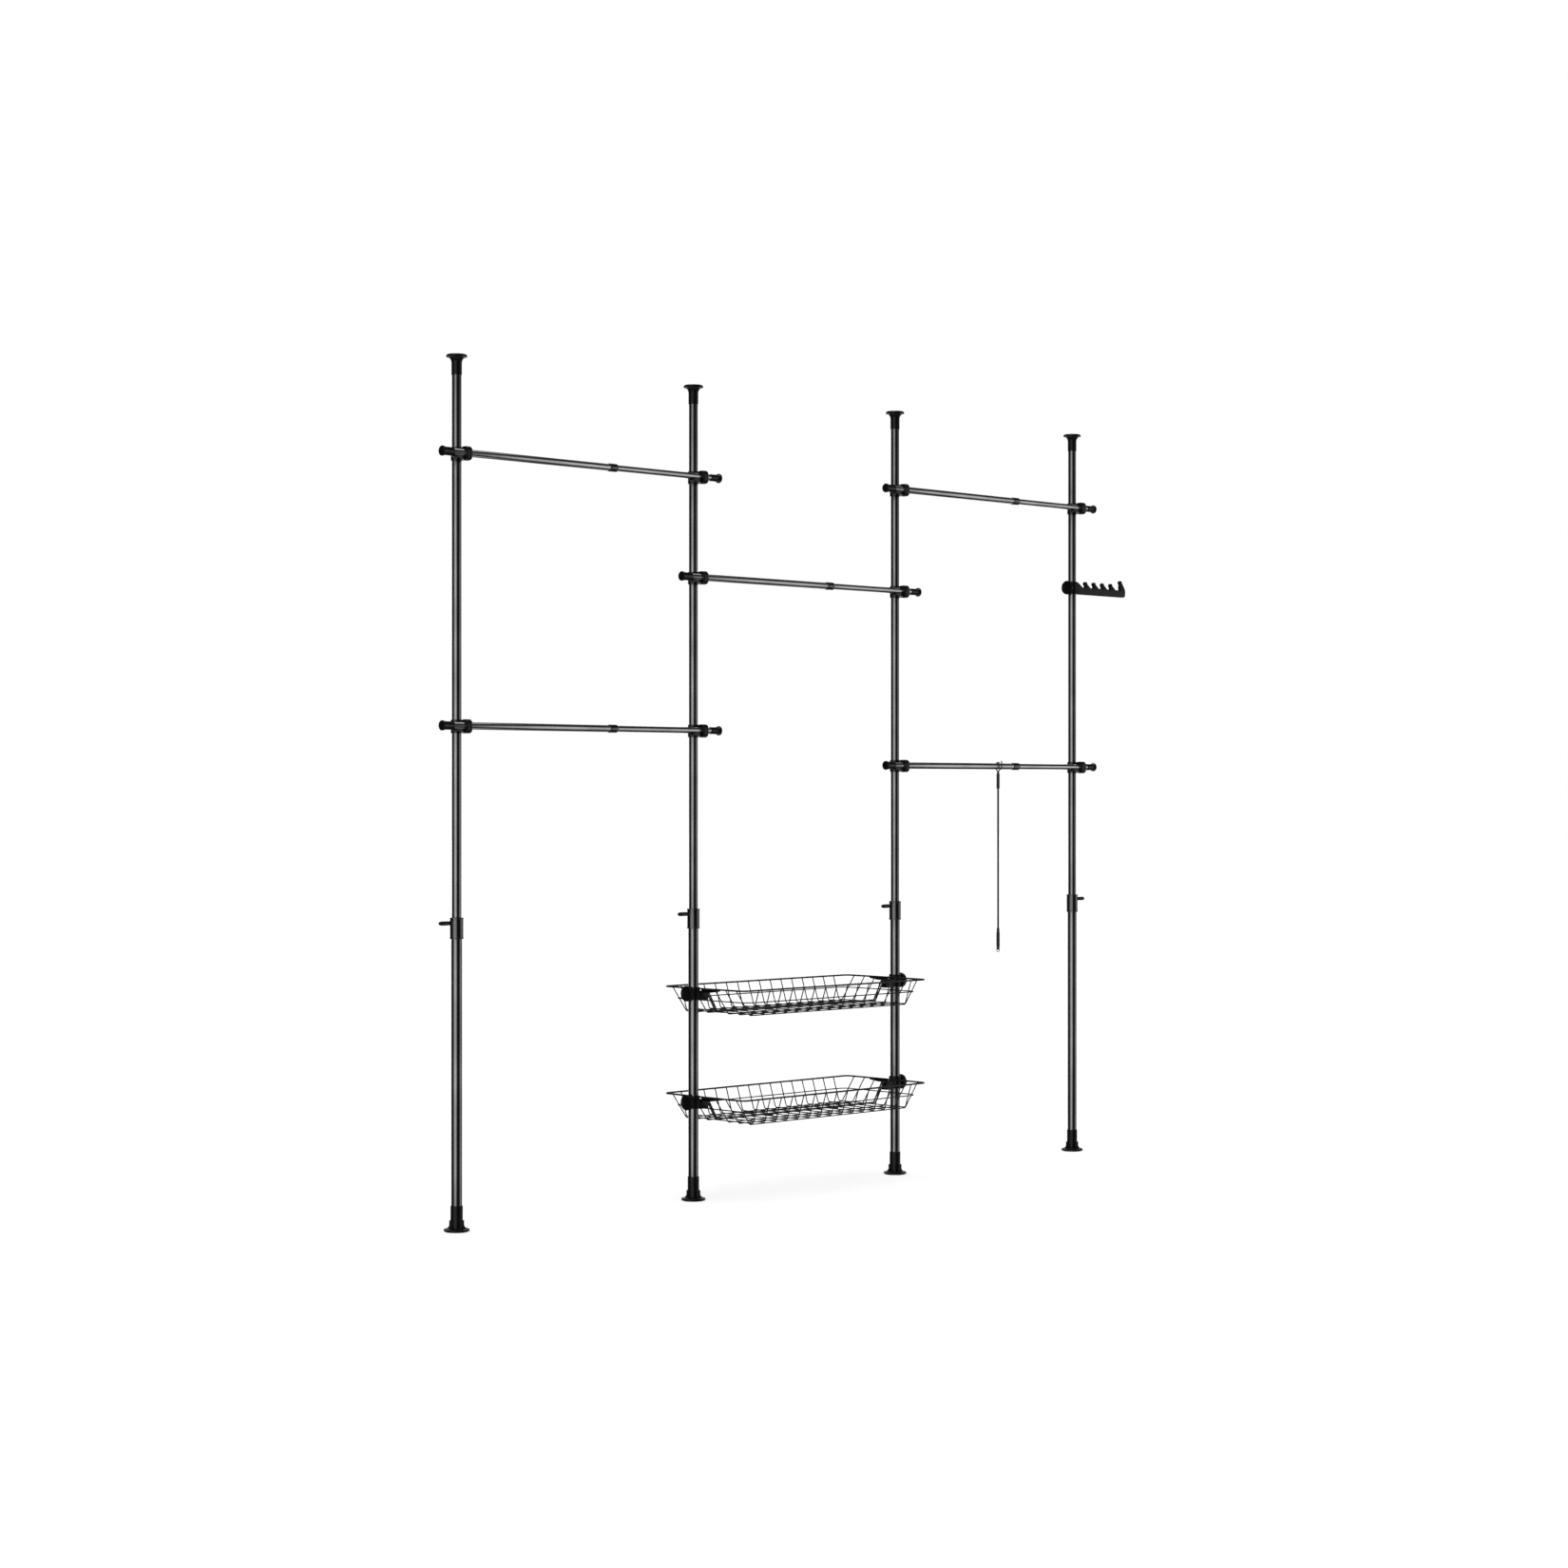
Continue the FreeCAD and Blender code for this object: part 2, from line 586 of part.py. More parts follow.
def basket_wires(rim_z):
    """Cross wires, lengthwise wires and side hoop of a basket, about its middle."""
    cross_z = rim_z - BASKET_DEPTH
    lengthwise_z = rim_z - BASKET_END_DEPTH
    cross = wire_rod(bent([
        Vector(0, -FLOOR_HALF_WIDTH - BASKET_LONG_SLOPE, rim_z),
        Vector(0, -FLOOR_HALF_WIDTH, cross_z),
        Vector(0, FLOOR_HALF_WIDTH, cross_z),
        Vector(0, FLOOR_HALF_WIDTH + BASKET_LONG_SLOPE, rim_z),
    ], BASKET_WIRE_BEND), BASKET_WIRE_RADIUS)
    lengthwise = wire_rod(bent([
        Vector(-FLOOR_HALF_LENGTH - BASKET_END_SLOPE, 0, rim_z),
        Vector(-FLOOR_HALF_LENGTH, 0, lengthwise_z),
        Vector(FLOOR_HALF_LENGTH, 0, lengthwise_z),
        Vector(FLOOR_HALF_LENGTH + BASKET_END_SLOPE, 0, rim_z),
    ], BASKET_WIRE_BEND), BASKET_WIRE_RADIUS)
    cross_reach = FLOOR_HALF_LENGTH - BASKET_WIRE_MARGIN
    wires = []
    for i in range(BASKET_CROSS_COUNT):
        place = i / (BASKET_CROSS_COUNT - 1) * 2 - 1
        wires.append(moved(cross, x=place * cross_reach))
    lengthwise_reach = FLOOR_HALF_WIDTH - BASKET_WIRE_MARGIN
    for i in range(BASKET_LENGTHWISE_COUNT):
        place = i / (BASKET_LENGTHWISE_COUNT - 1) * 2 - 1
        if place != 0:
            wires.append(moved(lengthwise, y=place * lengthwise_reach))
    side = 2 * BASKET_WIRE_RADIUS + SEAT_GAP
    hoop_z = rim_z - BASKET_DEPTH / 2
    hoop_half_length = FLOOR_HALF_LENGTH + BASKET_END_SLOPE * (hoop_z - lengthwise_z) / BASKET_END_DEPTH
    hoop_half_length += side * math.hypot(BASKET_END_DEPTH, BASKET_END_SLOPE) / BASKET_END_DEPTH
    hoop_half_width = FLOOR_HALF_WIDTH + BASKET_LONG_SLOPE * (hoop_z - cross_z) / BASKET_DEPTH
    hoop_half_width += side * math.hypot(BASKET_DEPTH, BASKET_LONG_SLOPE) / BASKET_DEPTH
    corners = rectangle(hoop_half_length, hoop_half_width, hoop_z)
    hoop = bent(corners, BASKET_HOOP_CORNER, closed=True)
    wires.append(wire_rod(hoop, BASKET_WIRE_RADIUS, closed=True))
    return wires


def basket_rods(rim_z):
    """Pair of middle rods on the cross wires, whose raised ends plug into the brackets."""
    rod_z = rim_z - BASKET_ROD_DEPTH
    seat_z = rim_z - BASKET_ROD_DROP
    end = BAY_LENGTH / 2 - BRACKET_BLOCK_REACH + BASKET_ROD_SEAT
    foot_x = FLOOR_HALF_LENGTH + BASKET_ROD_OVERHANG
    knee_x = foot_x + (seat_z - rod_z) * BASKET_ROD_LEAN
    rod = wire_rod(bent([
        Vector(-end, 0, seat_z),
        Vector(-knee_x, 0, seat_z),
        Vector(-foot_x, 0, rod_z),
        Vector(foot_x, 0, rod_z),
        Vector(knee_x, 0, seat_z),
        Vector(end, 0, seat_z),
    ], BASKET_ROD_BEND), BASKET_ROD_RADIUS)
    return [moved(rod, y=side * BASKET_ROD_SPACING / 2) for side in (-1, 1)]


def basket_clips(rim_z):
    """Two clips under the middle rods, each half way between two cross wires, about the basket's middle."""
    rod_z = rim_z - BASKET_ROD_DEPTH
    pitch = 2 * (FLOOR_HALF_LENGTH - BASKET_WIRE_MARGIN) / (BASKET_CROSS_COUNT - 1)
    half = BASKET_CLIP_LENGTH / 2
    clip = block(-half, half, -BASKET_CLIP_HALF_WIDTH, BASKET_CLIP_HALF_WIDTH,
                 -BASKET_CLIP_DROP, BASKET_CLIP_RISE)
    groove = cylinder(BASKET_ROD_RADIUS + SEAT_GAP, -half, half, X_AXIS)
    for side in (-1, 1):
        clip = clip.cut(moved(groove, y=side * BASKET_ROD_SPACING / 2))
    return [moved(clip, x=gap * pitch, z=rod_z) for gap in BASKET_CLIP_GAPS]


def basket_bracket(rim_z):
    """Pole clamp with a socket block and an arm under the rim, for the left end, about the pole's axis."""
    radius = BRACKET_BORE + BRACKET_WALL
    screw_z = rim_z - BRACKET_KNOB_DROP
    low = screw_z - BRACKET_HEIGHT / 2
    high = screw_z + BRACKET_HEIGHT / 2
    rod_z = rim_z - BASKET_ROD_DROP
    band = cylinder(radius, low, high)
    boss = cylinder(KNOB_BOSS_RADIUS, 0, radius + KNOB_STANDOFF, X_AXIS * -1)
    socket = block(0, BRACKET_BLOCK_REACH, -BRACKET_BLOCK_HALF_WIDTH, BRACKET_BLOCK_HALF_WIDTH,
                   rod_z - BRACKET_BLOCK_HEIGHT / 2, rod_z + BRACKET_BLOCK_HEIGHT / 2)
    socket = socket.makeFillet(BRACKET_BLOCK_FILLET, [
        edge for edge in socket.Edges if edge.BoundBox.XMin > BRACKET_BLOCK_REACH / 2
    ])
    rim_bottom = rim_z - BASKET_RIM_RADIUS - SEAT_GAP
    rim_outside = BASKET_END_GAP - BASKET_RIM_RADIUS - SEAT_GAP
    arm_inside = BASKET_END_GAP + BASKET_RIM_RADIUS - SLIDE_GAP
    arm = outline_face([
        Vector(rim_outside - BRACKET_ARM_WALL, 0, rim_bottom - BRACKET_ARM_HEIGHT),
        Vector(arm_inside, 0, rim_bottom - BRACKET_ARM_HEIGHT),
        Vector(arm_inside, 0, rim_bottom),
        Vector(rim_outside, 0, rim_bottom),
        Vector(rim_outside, 0, rim_z),
        Vector(rim_outside - BRACKET_ARM_WALL, 0, rim_z),
    ]).extrude(Y_AXIS * -BRACKET_ARM_LENGTH)
    tip = outline_face([
        Vector(0, -BRACKET_ARM_LENGTH, rim_bottom - BRACKET_ARM_TIP),
        Vector(0, -BRACKET_ARM_LENGTH, rim_bottom - BRACKET_ARM_HEIGHT),
        Vector(0, -BRACKET_ARM_LENGTH / 2, rim_bottom - BRACKET_ARM_HEIGHT),
    ]).extrude(X_AXIS * BRACKET_BLOCK_REACH)
    bracket = fused([band, moved(boss, z=screw_z), socket, arm.cut(tip)])
    bracket = bracket.cut(cylinder(BRACKET_BORE, bracket.BoundBox.ZMin, bracket.BoundBox.ZMax))
    hole = cylinder(KNOB_SCREW_RADIUS + SCREW_GAP, 0, radius + KNOB_STANDOFF, X_AXIS * -1)
    rod_hole = cylinder(BASKET_ROD_RADIUS + SEAT_GAP, BRACKET_BLOCK_REACH - BASKET_ROD_SEAT - SEAT_GAP,
                        BRACKET_BLOCK_REACH, X_AXIS)
    bracket = bracket.cut(moved(hole, z=screw_z))
    for side in (-1, 1):
        bracket = bracket.cut(moved(rod_hole, y=side * BASKET_ROD_SPACING / 2, z=rod_z))
    return bracket


def clamp_knob(tip, standoff, screw_z):
    """Round knob with its screw on the -X side of a pole clamp, about the pole's axis."""
    start = standoff + SLIDE_GAP
    end = start + KNOB_THICKNESS
    knob = turned_profile(polyline([
        profile_point(0, tip),
        profile_point(KNOB_SCREW_RADIUS, tip),
        profile_point(KNOB_SCREW_RADIUS, start),
        profile_point(KNOB_RADIUS, start),
        profile_point(KNOB_RADIUS, end - KNOB_CHAMFER),
        profile_point(KNOB_RADIUS - KNOB_CHAMFER, end),
        profile_point(0, end),
        profile_point(0, tip),
    ]))
    knob.rotate(ORIGIN, Y_AXIS, -90)
    return moved(knob, z=screw_z)


def basket_knob(rim_z):
    """Knob of a basket's left bracket, about the pole's axis."""
    standoff = BRACKET_BORE + BRACKET_WALL + KNOB_STANDOFF
    return clamp_knob(BRACKET_BORE, standoff, rim_z - BRACKET_KNOB_DROP)


def rack_knob():
    """Knob of the hook rack, about the pole's axis."""
    bore = UPPER_TUBE_RADIUS + SLIDE_GAP
    return clamp_knob(bore, bore + RACK_POLE_WALL + KNOB_STANDOFF, HEIGHT - RACK_DROP)


def hook_tooth(place, height, slope):
    """One hook with a bulb at its tip, standing on the rack's arm, whose back slopes down through points."""
    bulb_z = height - RACK_BULB_RADIUS
    bulb = Part.makeCylinder(RACK_BULB_RADIUS, RACK_ARM_THICKNESS, Vector(place, 0, bulb_z), Y_AXIS)
    tooth = outline_face([
        Vector(place, 0, 0),
        Vector(place, 0, bulb_z),
        Vector(place + RACK_BULB_RADIUS, 0, bulb_z),
    ] + slope).extrude(Y_AXIS * RACK_ARM_THICKNESS)
    return [bulb, tooth]


def hook_rack():
    """Pole clamp with an arm along +X that carries a row of hooks, about the pole's axis."""
    bore = UPPER_TUBE_RADIUS + SLIDE_GAP
    radius = bore + RACK_POLE_WALL
    middle = HEIGHT - RACK_DROP
    bottom = middle - RACK_HEIGHT / 2
    band = cylinder(radius, bottom, middle + RACK_HEIGHT / 2)
    boss = cylinder(KNOB_BOSS_RADIUS, 0, radius + KNOB_STANDOFF, X_AXIS * -1)
    bar = block(0, RACK_REACH, 0, RACK_ARM_THICKNESS, -RACK_ARM_HEIGHT, 0)
    bar = bar.makeFillet(RACK_ARM_CORNER, [
        edge for edge in bar.Edges
        if edge.BoundBox.XMin > RACK_REACH / 2 and edge.BoundBox.ZMax < -RACK_ARM_HEIGHT / 2
        and edge.BoundBox.YLength > RACK_ARM_THICKNESS / 2
    ])
    first_slope = outline_face([
        Vector(bore, 0, 0),
        Vector(bore, 0, RACK_HOOK_HEIGHT),
        Vector(radius + RACK_ROOT_LENGTH, 0, RACK_HOOK_HEIGHT),
        Vector(radius + RACK_ROOT_LENGTH + RACK_HOOK_SLOPE, 0, 0),
    ]).extrude(Y_AXIS * RACK_ARM_THICKNESS)
    pieces = [bar, first_slope]
    for i in range(RACK_HOOK_COUNT):
        place = RACK_FIRST_HOOK + i * RACK_HOOK_PITCH
        pieces += hook_tooth(place, RACK_HOOK_HEIGHT, [Vector(place + RACK_HOOK_SLOPE, 0, 0)])
    pieces += hook_tooth(RACK_REACH - RACK_HOOK_SLOPE, RACK_END_HOOK_HEIGHT, [
        Vector(RACK_REACH - RACK_END_SHOULDER, 0, RACK_END_SHOULDER_HEIGHT),
        Vector(RACK_REACH, 0, 0),
    ])
    arm = moved(fused(pieces), y=-RACK_ARM_THICKNESS / 2, z=bottom + RACK_ARM_HEIGHT)
    rack = fused([band, moved(boss, z=middle), arm])
    rack = rack.cut(cylinder(bore, bottom, middle + RACK_HEIGHT / 2))
    hole = cylinder(KNOB_SCREW_RADIUS + SCREW_GAP, 0, radius + KNOB_STANDOFF, X_AXIS * -1)
    return rack.cut(moved(hole, z=middle))


def reacher_hook():
    """Wire hook over the rail and a second prong in front of it, about the rail's axis."""
    chord_half_turn = math.radians((90 + REACHER_HOOK_TURN) / REACHER_HOOK_STEPS / 2)
    around = (RAIL_TUBE_RADIUS + SLIDE_GAP + REACHER_WIRE_RADIUS) / math.cos(chord_half_turn)
    seat = FERRULE_TOP - FERRULE_WIRE_SEAT
    turn = math.radians(REACHER_HOOK_TURN)
    over = []
    for step in range(1, REACHER_HOOK_STEPS + 1):
        angle = step / REACHER_HOOK_STEPS * (math.pi / 2 + turn)
        over.append(Vector(0, around * math.cos(angle), around * math.sin(angle)))
    knee = -REACHER_KNEE
    fork = FERRULE_TOP + REACHER_BEND
    back = bent([
        Vector(0, REACHER_WIRE_Y, seat),
        Vector(0, REACHER_WIRE_Y, fork),
        Vector(0, around, knee),
        Vector(0, around, 0),
    ], REACHER_BEND)
    front = -(around + REACHER_PRONG_GAP)
    prong = bent([
        Vector(0, -REACHER_WIRE_Y, seat),
        Vector(0, -REACHER_WIRE_Y, fork),
        Vector(0, front, knee),
        Vector(0, front, RAIL_TUBE_RADIUS + REACHER_PRONG_RISE),
    ], REACHER_BEND)
    return [wire_rod(back + over, REACHER_WIRE_RADIUS), wire_rod(prong, REACHER_WIRE_RADIUS)]


def reacher_ferrule():
    """Sleeve that joins the hook's wires to the rod, about the rail's axis."""
    ferrule = cylinder(FERRULE_RADIUS, FERRULE_TOP - FERRULE_LENGTH, FERRULE_TOP)
    ferrule = ferrule.cut(cylinder(ROD_RADIUS + SEAT_GAP, FERRULE_TOP - FERRULE_LENGTH, ROD_TOP + SEAT_GAP))
    hole = cylinder(REACHER_WIRE_RADIUS + SEAT_GAP, FERRULE_TOP - FERRULE_WIRE_SEAT - SEAT_GAP, FERRULE_TOP)
    return ferrule.cut(moved(hole, y=REACHER_WIRE_Y)).cut(moved(hole, y=-REACHER_WIRE_Y))


def reacher_rod():
    """Straight rod between the ferrule and the grip, about the rail's axis."""
    return cylinder(ROD_RADIUS, ROD_TOP - ROD_LENGTH, ROD_TOP)


def reacher_grip():
    """Swelling grip on the rod's end, with an eye for the pull ring, about the rail's axis."""
    bore = ROD_RADIUS + SEAT_GAP
    grip_top = GRIP_BOTTOM + GRIP_LENGTH
    bore_bottom = grip_top - GRIP_SEAT - SEAT_GAP
    grip = turned_profile(polyline([
        profile_point(0, GRIP_BOTTOM),
        profile_point(GRIP_RADIUS - GRIP_EDGE, GRIP_BOTTOM),
        profile_point(GRIP_RADIUS, GRIP_BOTTOM + GRIP_EDGE),
        profile_point(GRIP_RADIUS, grip_top - GRIP_TAPER),
        profile_point(bore + GRIP_LIP, grip_top),
        profile_point(bore, grip_top),
        profile_point(bore, bore_bottom),
        profile_point(0, bore_bottom),
        profile_point(0, GRIP_BOTTOM),
    ]))
    eye = cylinder(PULL_RING_EYE, -GRIP_RADIUS, GRIP_RADIUS, Y_AXIS)
    grip = grip.cut(moved(eye, z=GRIP_BOTTOM + PULL_RING_EYE_MARGIN))
    tang_top = GRIP_BOTTOM + PULL_RING_TANG_HEIGHT
    for side in (-1, 1):
        flat = sorted((side * PULL_RING_TANG, side * GRIP_RADIUS))
        grip = grip.cut(block(-GRIP_RADIUS, GRIP_RADIUS, flat[0], flat[1], GRIP_BOTTOM, tang_top))
    return grip


def pull_ring():
    """Ring through the grip's eye, about the rail's axis."""
    eye_z = GRIP_BOTTOM + PULL_RING_EYE_MARGIN
    flat = math.cos(math.pi / PULL_RING_STEPS)
    tang_rise = math.sqrt(PULL_RING_RADIUS ** 2 - PULL_RING_TANG ** 2) * flat
    centre_z = eye_z - PULL_RING_EYE + PULL_RING_WIRE + SLIDE_GAP - tang_rise
    ring = []
    for i in range(PULL_RING_STEPS):
        angle = 2 * math.pi * i / PULL_RING_STEPS
        ring.append(Vector(0, math.cos(angle), math.sin(angle)) * PULL_RING_RADIUS + Z_AXIS * centre_z)
    return wire_rod(ring, PULL_RING_WIRE, closed=True)


def pole_nodes():
    """Nodes of the four poles. The two middle poles' small pieces share nodes."""
    nodes = {}
    shared = {1: "pole_1", 2: "middle_poles", 3: "middle_poles", 4: "pole_4"}
    plural = {"pole_1": "", "middle_poles": "s", "pole_4": ""}
    for pole, x in POLE_X.items():
        owner = shared[pole]
        collar = lock_collar()
        screw = lock_screw()
        if pole == 4:
            collar = turned_half(collar)
            screw = turned_half(screw)
        nodes[f"pole_{pole}_lower_tube"] = [moved(lower_tube(), x=x)]
        nodes[f"pole_{pole}_upper_tube"] = [moved(upper_tube(), x=x)]
        nodes[f"pole_{pole}_lock_screw"] = [moved(screw, x=x)]
        feet = nodes.setdefault(f"{owner}_foot", [])
        feet += [moved(shape, x=x) for shape in foot()]
        caps = nodes.setdefault(f"{owner}_ceiling_cap{plural[owner]}", [])
        caps += [moved(shape, x=x) for shape in ceiling_cap()]
        collars = nodes.setdefault(f"{owner}_lock_collar{plural[owner]}", [])
        collars.append(moved(collar, x=x))
    nodes["middle_poles_feet"] = nodes.pop("middle_poles_foot")
    return nodes


def rail_nodes():
    """Nodes of the five rails."""
    nodes = {}
    for rail, left_pole in RAIL_LEFT_POLES.items():
        left = POLE_X[left_pole]
        right = POLE_X[left_pole + 1]
        z = RAIL_Z[rail]
        inner = inner_rail_tube(right - left)
        nodes[f"rail_{rail}_outer_tube"] = [moved(outer_rail_tube(), left, RAIL_Y, z)]
        nodes[f"rail_{rail}_inner_tube"] = [moved(inner, left, RAIL_Y, z)]
        nodes[f"rail_{rail}_left_fittings"] = [
            moved(cross_clamp(RAIL_TUBE_RADIUS), left, 0, z),
            moved(left_end_cap(), left, RAIL_Y, z),
            moved(slide_ring(), left, RAIL_Y, z),
        ]
        nodes[f"rail_{rail}_right_fittings"] = [
            moved(cross_clamp(INNER_RAIL_RADIUS), right, 0, z),
            moved(right_end_cap(), right, RAIL_Y, z),
        ]
    return nodes


def basket_nodes():
    """Nodes of the two wire baskets with their brackets and knobs."""
    nodes = {}
    for name, rim_z in BASKET_HEIGHTS.items():
        bracket = basket_bracket(rim_z)
        knob = basket_knob(rim_z)
        rim = [basket_rim(rim_z)] + basket_rods(rim_z) + basket_clips(rim_z)
        nodes[f"{name}_basket_rim"] = [moved(wire, x=MIDDLE_X) for wire in rim]
        nodes[f"{name}_basket_wires"] = [moved(wire, x=MIDDLE_X) for wire in basket_wires(rim_z)]
        nodes[f"{name}_basket_brackets"] = [
            moved(bracket, x=POLE_X[2]),
            moved(turned_half(bracket), x=POLE_X[3]),
        ]
        nodes[f"{name}_basket_left_knob"] = [moved(knob, x=POLE_X[2])]
        nodes[f"{name}_basket_right_knob"] = [moved(turned_half(knob), x=POLE_X[3])]
    return nodes


def accessory_nodes():
    """Nodes of the hook rack and of the reacher rod."""
    rack_x = POLE_X[4]
    reacher_x = POLE_X[RAIL_LEFT_POLES[5]] + REACHER_PLACE
    reacher = {
        "reacher_wires": reacher_hook() + [pull_ring()],
        "reacher_rod": [reacher_rod()],
        "reacher_grips": [reacher_ferrule(), reacher_grip()],
    }
    nodes = {
        "hook_rack": [moved(hook_rack(), x=rack_x)],
        "hook_rack_knob": [moved(rack_knob(), x=rack_x)],
    }
    for name, shapes in reacher.items():
        nodes[name] = [moved(shape, reacher_x, RAIL_Y, RAIL_Z[5]) for shape in shapes]
    return nodes


def main():
    os.makedirs("parts", exist_ok=True)
    nodes = {}
    for group in (pole_nodes(), rail_nodes(), basket_nodes(), accessory_nodes()):
        nodes.update(group)
    for name, shapes in nodes.items():
        solids = [solid for shape in shapes for solid in shape.Solids]
        piece = solids[0] if len(solids) == 1 else Part.makeCompound(solids)
        piece.exportStep(f"parts/{name}.step")
    print(len(nodes), "pieces written")


main()
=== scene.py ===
import math

import bmesh
import bpy
from mathutils import Matrix, Vector


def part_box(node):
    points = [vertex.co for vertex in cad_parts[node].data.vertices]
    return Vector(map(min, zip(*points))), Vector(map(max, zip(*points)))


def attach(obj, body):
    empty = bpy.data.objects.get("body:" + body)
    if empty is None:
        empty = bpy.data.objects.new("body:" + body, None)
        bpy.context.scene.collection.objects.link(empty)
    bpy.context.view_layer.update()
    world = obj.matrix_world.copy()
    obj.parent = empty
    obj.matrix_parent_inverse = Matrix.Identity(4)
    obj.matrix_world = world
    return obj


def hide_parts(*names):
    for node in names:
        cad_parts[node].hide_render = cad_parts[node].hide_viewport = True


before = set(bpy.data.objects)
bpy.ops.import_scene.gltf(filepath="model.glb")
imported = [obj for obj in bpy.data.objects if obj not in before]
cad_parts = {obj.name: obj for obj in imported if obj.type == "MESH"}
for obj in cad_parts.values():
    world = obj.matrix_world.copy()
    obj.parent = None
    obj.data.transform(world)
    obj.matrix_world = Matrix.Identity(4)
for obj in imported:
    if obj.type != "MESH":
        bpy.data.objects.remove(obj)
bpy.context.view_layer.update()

# Units and fineness of the round forms. A curve at a corner takes less than half of each side
MM = 0.001
SIDES = 48
WIRE_SIDES = 12
CORNER_STEPS = 4
CORNER_SHARE = 0.49
BEVEL_STEPS = 2
ROUND_PROFILE = 0.5
SHARP_ANGLE = math.radians(32)
AXIS_LIMIT = 1e-6

# Edges and gaps that many pieces share, in millimetres
SMALL_EDGE = 0.6
SEAT_GAP = 0.05

# Camera, found from the photograph: level, turned 45 degrees towards the row of poles
IMAGE_SIZE = 1650
FOCAL_PIXELS = 3181
HORIZON_PIXELS_BELOW_MIDDLE = 7.5
SENSOR = 36.0
CAMERA_PLACE = (-7.0475, -6.888, 1.2805)
CAMERA_YAW = -45.0
CAMERA_FAR = 200.0

# Feet and ceiling caps, radii and heights in millimetres
FLOOR_PAD_RADIUS = 33.0
PAD_THICKNESS = 2.0
FLANGE_RADIUS = 38.0
FLANGE_TOP = 8.0
FLANGE_CONE_RISE = 2.0
FOOT_FILLET = 2.0
FOOT_SLEEVE_RADIUS = 18.05
FOOT_BORE = 16.05
FOOT_SEAT = 10.0
FOOT_TOP = 75.0
RIB_COUNT = 6
RIB_PHASE = 15.0
RIB_THICKNESS = 3.5
RIB_TOP = 33.0
RIB_SHOULDER = 18.0
RIB_TOP_REACH = 3.8
RIB_TOE_REACH = 16.0
RIB_KNEE_REACH = 8.0
RIB_KNEE = 11.3
RIB_ROUNDING = 6.0
RIB_STEPS = 6
RIB_BEVEL = 0.5
RIB_SINK = 2.0
RIB_ROOT = 1.0
CEILING_PAD_RADIUS = 28.0
CAP_RADIUS = 31.0
CAP_LIP = 3.0
CAP_EDGE = 1.8
CAP_DISC_THICKNESS = 6.0
CAP_FLARE_HEIGHT = 18.0
CAP_FLARE_STEPS = 8
CAP_SLEEVE_HEIGHT = 33.0
CAP_SLEEVE_RADIUS = 15.35
CAP_BORE = 14.05
CAP_SEAT_DEPTH = 8.0

# Pole tubes, lock collars and screws
POLE_WALL = 1.5
TUBE_EDGE = 0.3
TUBE_EDGE_STEPS = 2
COLLAR_RADIUS = 19.75
COLLAR_LIP_RADIUS = 20.75
COLLAR_LIP_HEIGHT = 3.5
COLLAR_SEAT = 16.05
COLLAR_GUIDE = 14.3
COLLAR_SEAT_DEPTH = 36.0
LOCK_HEIGHT = 46.0
LOCK_BOSS_RADIUS = 7.5
LOCK_BOSS_END = 23.25
LOCK_SCREW_RADIUS = 3.0
LOCK_HANDLE_START = 23.55
LOCK_HANDLE_END = 64.55
LOCK_HANDLE_RADIUS = 6.35
LOCK_HANDLE_NECK = 4.5
LOCK_HANDLE_SWELL = 8.0
LOCK_HANDLE_NOSE = 7.0
LOCK_HANDLE_ROUNDING = 5.0
LOCK_HANDLE_STEPS = 6

# Rails
RAIL_RADIUS = 11.0
INNER_RAIL_RADIUS = 9.5
RAIL_WALL = 1.2
RAIL_SLIDE_GAP = 0.3
RAIL_OVERHANG = 82.0
RING_LENGTH = 30.0
RING_PLACE = 578.0
RING_RADIUS = 12.65
RING_THROAT = 9.0
RING_CHAMFER = 1.0
RING_CHAMFER_LENGTH = 2.0
END_CAP_RADIUS = 15.0
END_CAP_LENGTH = 41.5
END_CAP_WALL = 1.55
END_CAP_FACE = 8.0
END_CAP_CROWN_SHARE = 0.6
END_CAP_CROWN = 0.5
END_CAP_RIM = 4.5
END_CAP_FLARE = 13.0
END_CAP_FLARE_STEP = 0.4
END_CAP_FLARE_END = 18.0
END_CAP_ROUNDING = 2.6
END_CAP_STEPS = 5

# Cross clamps
CLAMP_BORE = 14.3
CLAMP_RING_RADIUS = 17.3
CLAMP_RING_EDGE = 0.8
CLAMP_TOP = 18.0
CLAMP_BOTTOM = -21.0
CLAMP_BLOCK_LENGTH = 20.0
CLAMP_BLOCK_WALL = 5.5
CLAMP_CORNER = 13.0
CLAMP_CORNER_STEPS = 8
CLAMP_BEVEL = 1.0
CLAMP_RIB_PLACES = (5.0, 14.5)
CLAMP_RIB_WIDTH = 5.0
CLAMP_RIB_RISE = 1.2
CLAMP_RIB_BEVEL = 0.8
CRADLE_LENGTH = 40.0
CRADLE_HALF_WIDTH = 8.0
CRADLE_TIP = -13.5
CRADLE_ROUNDING = 2.0

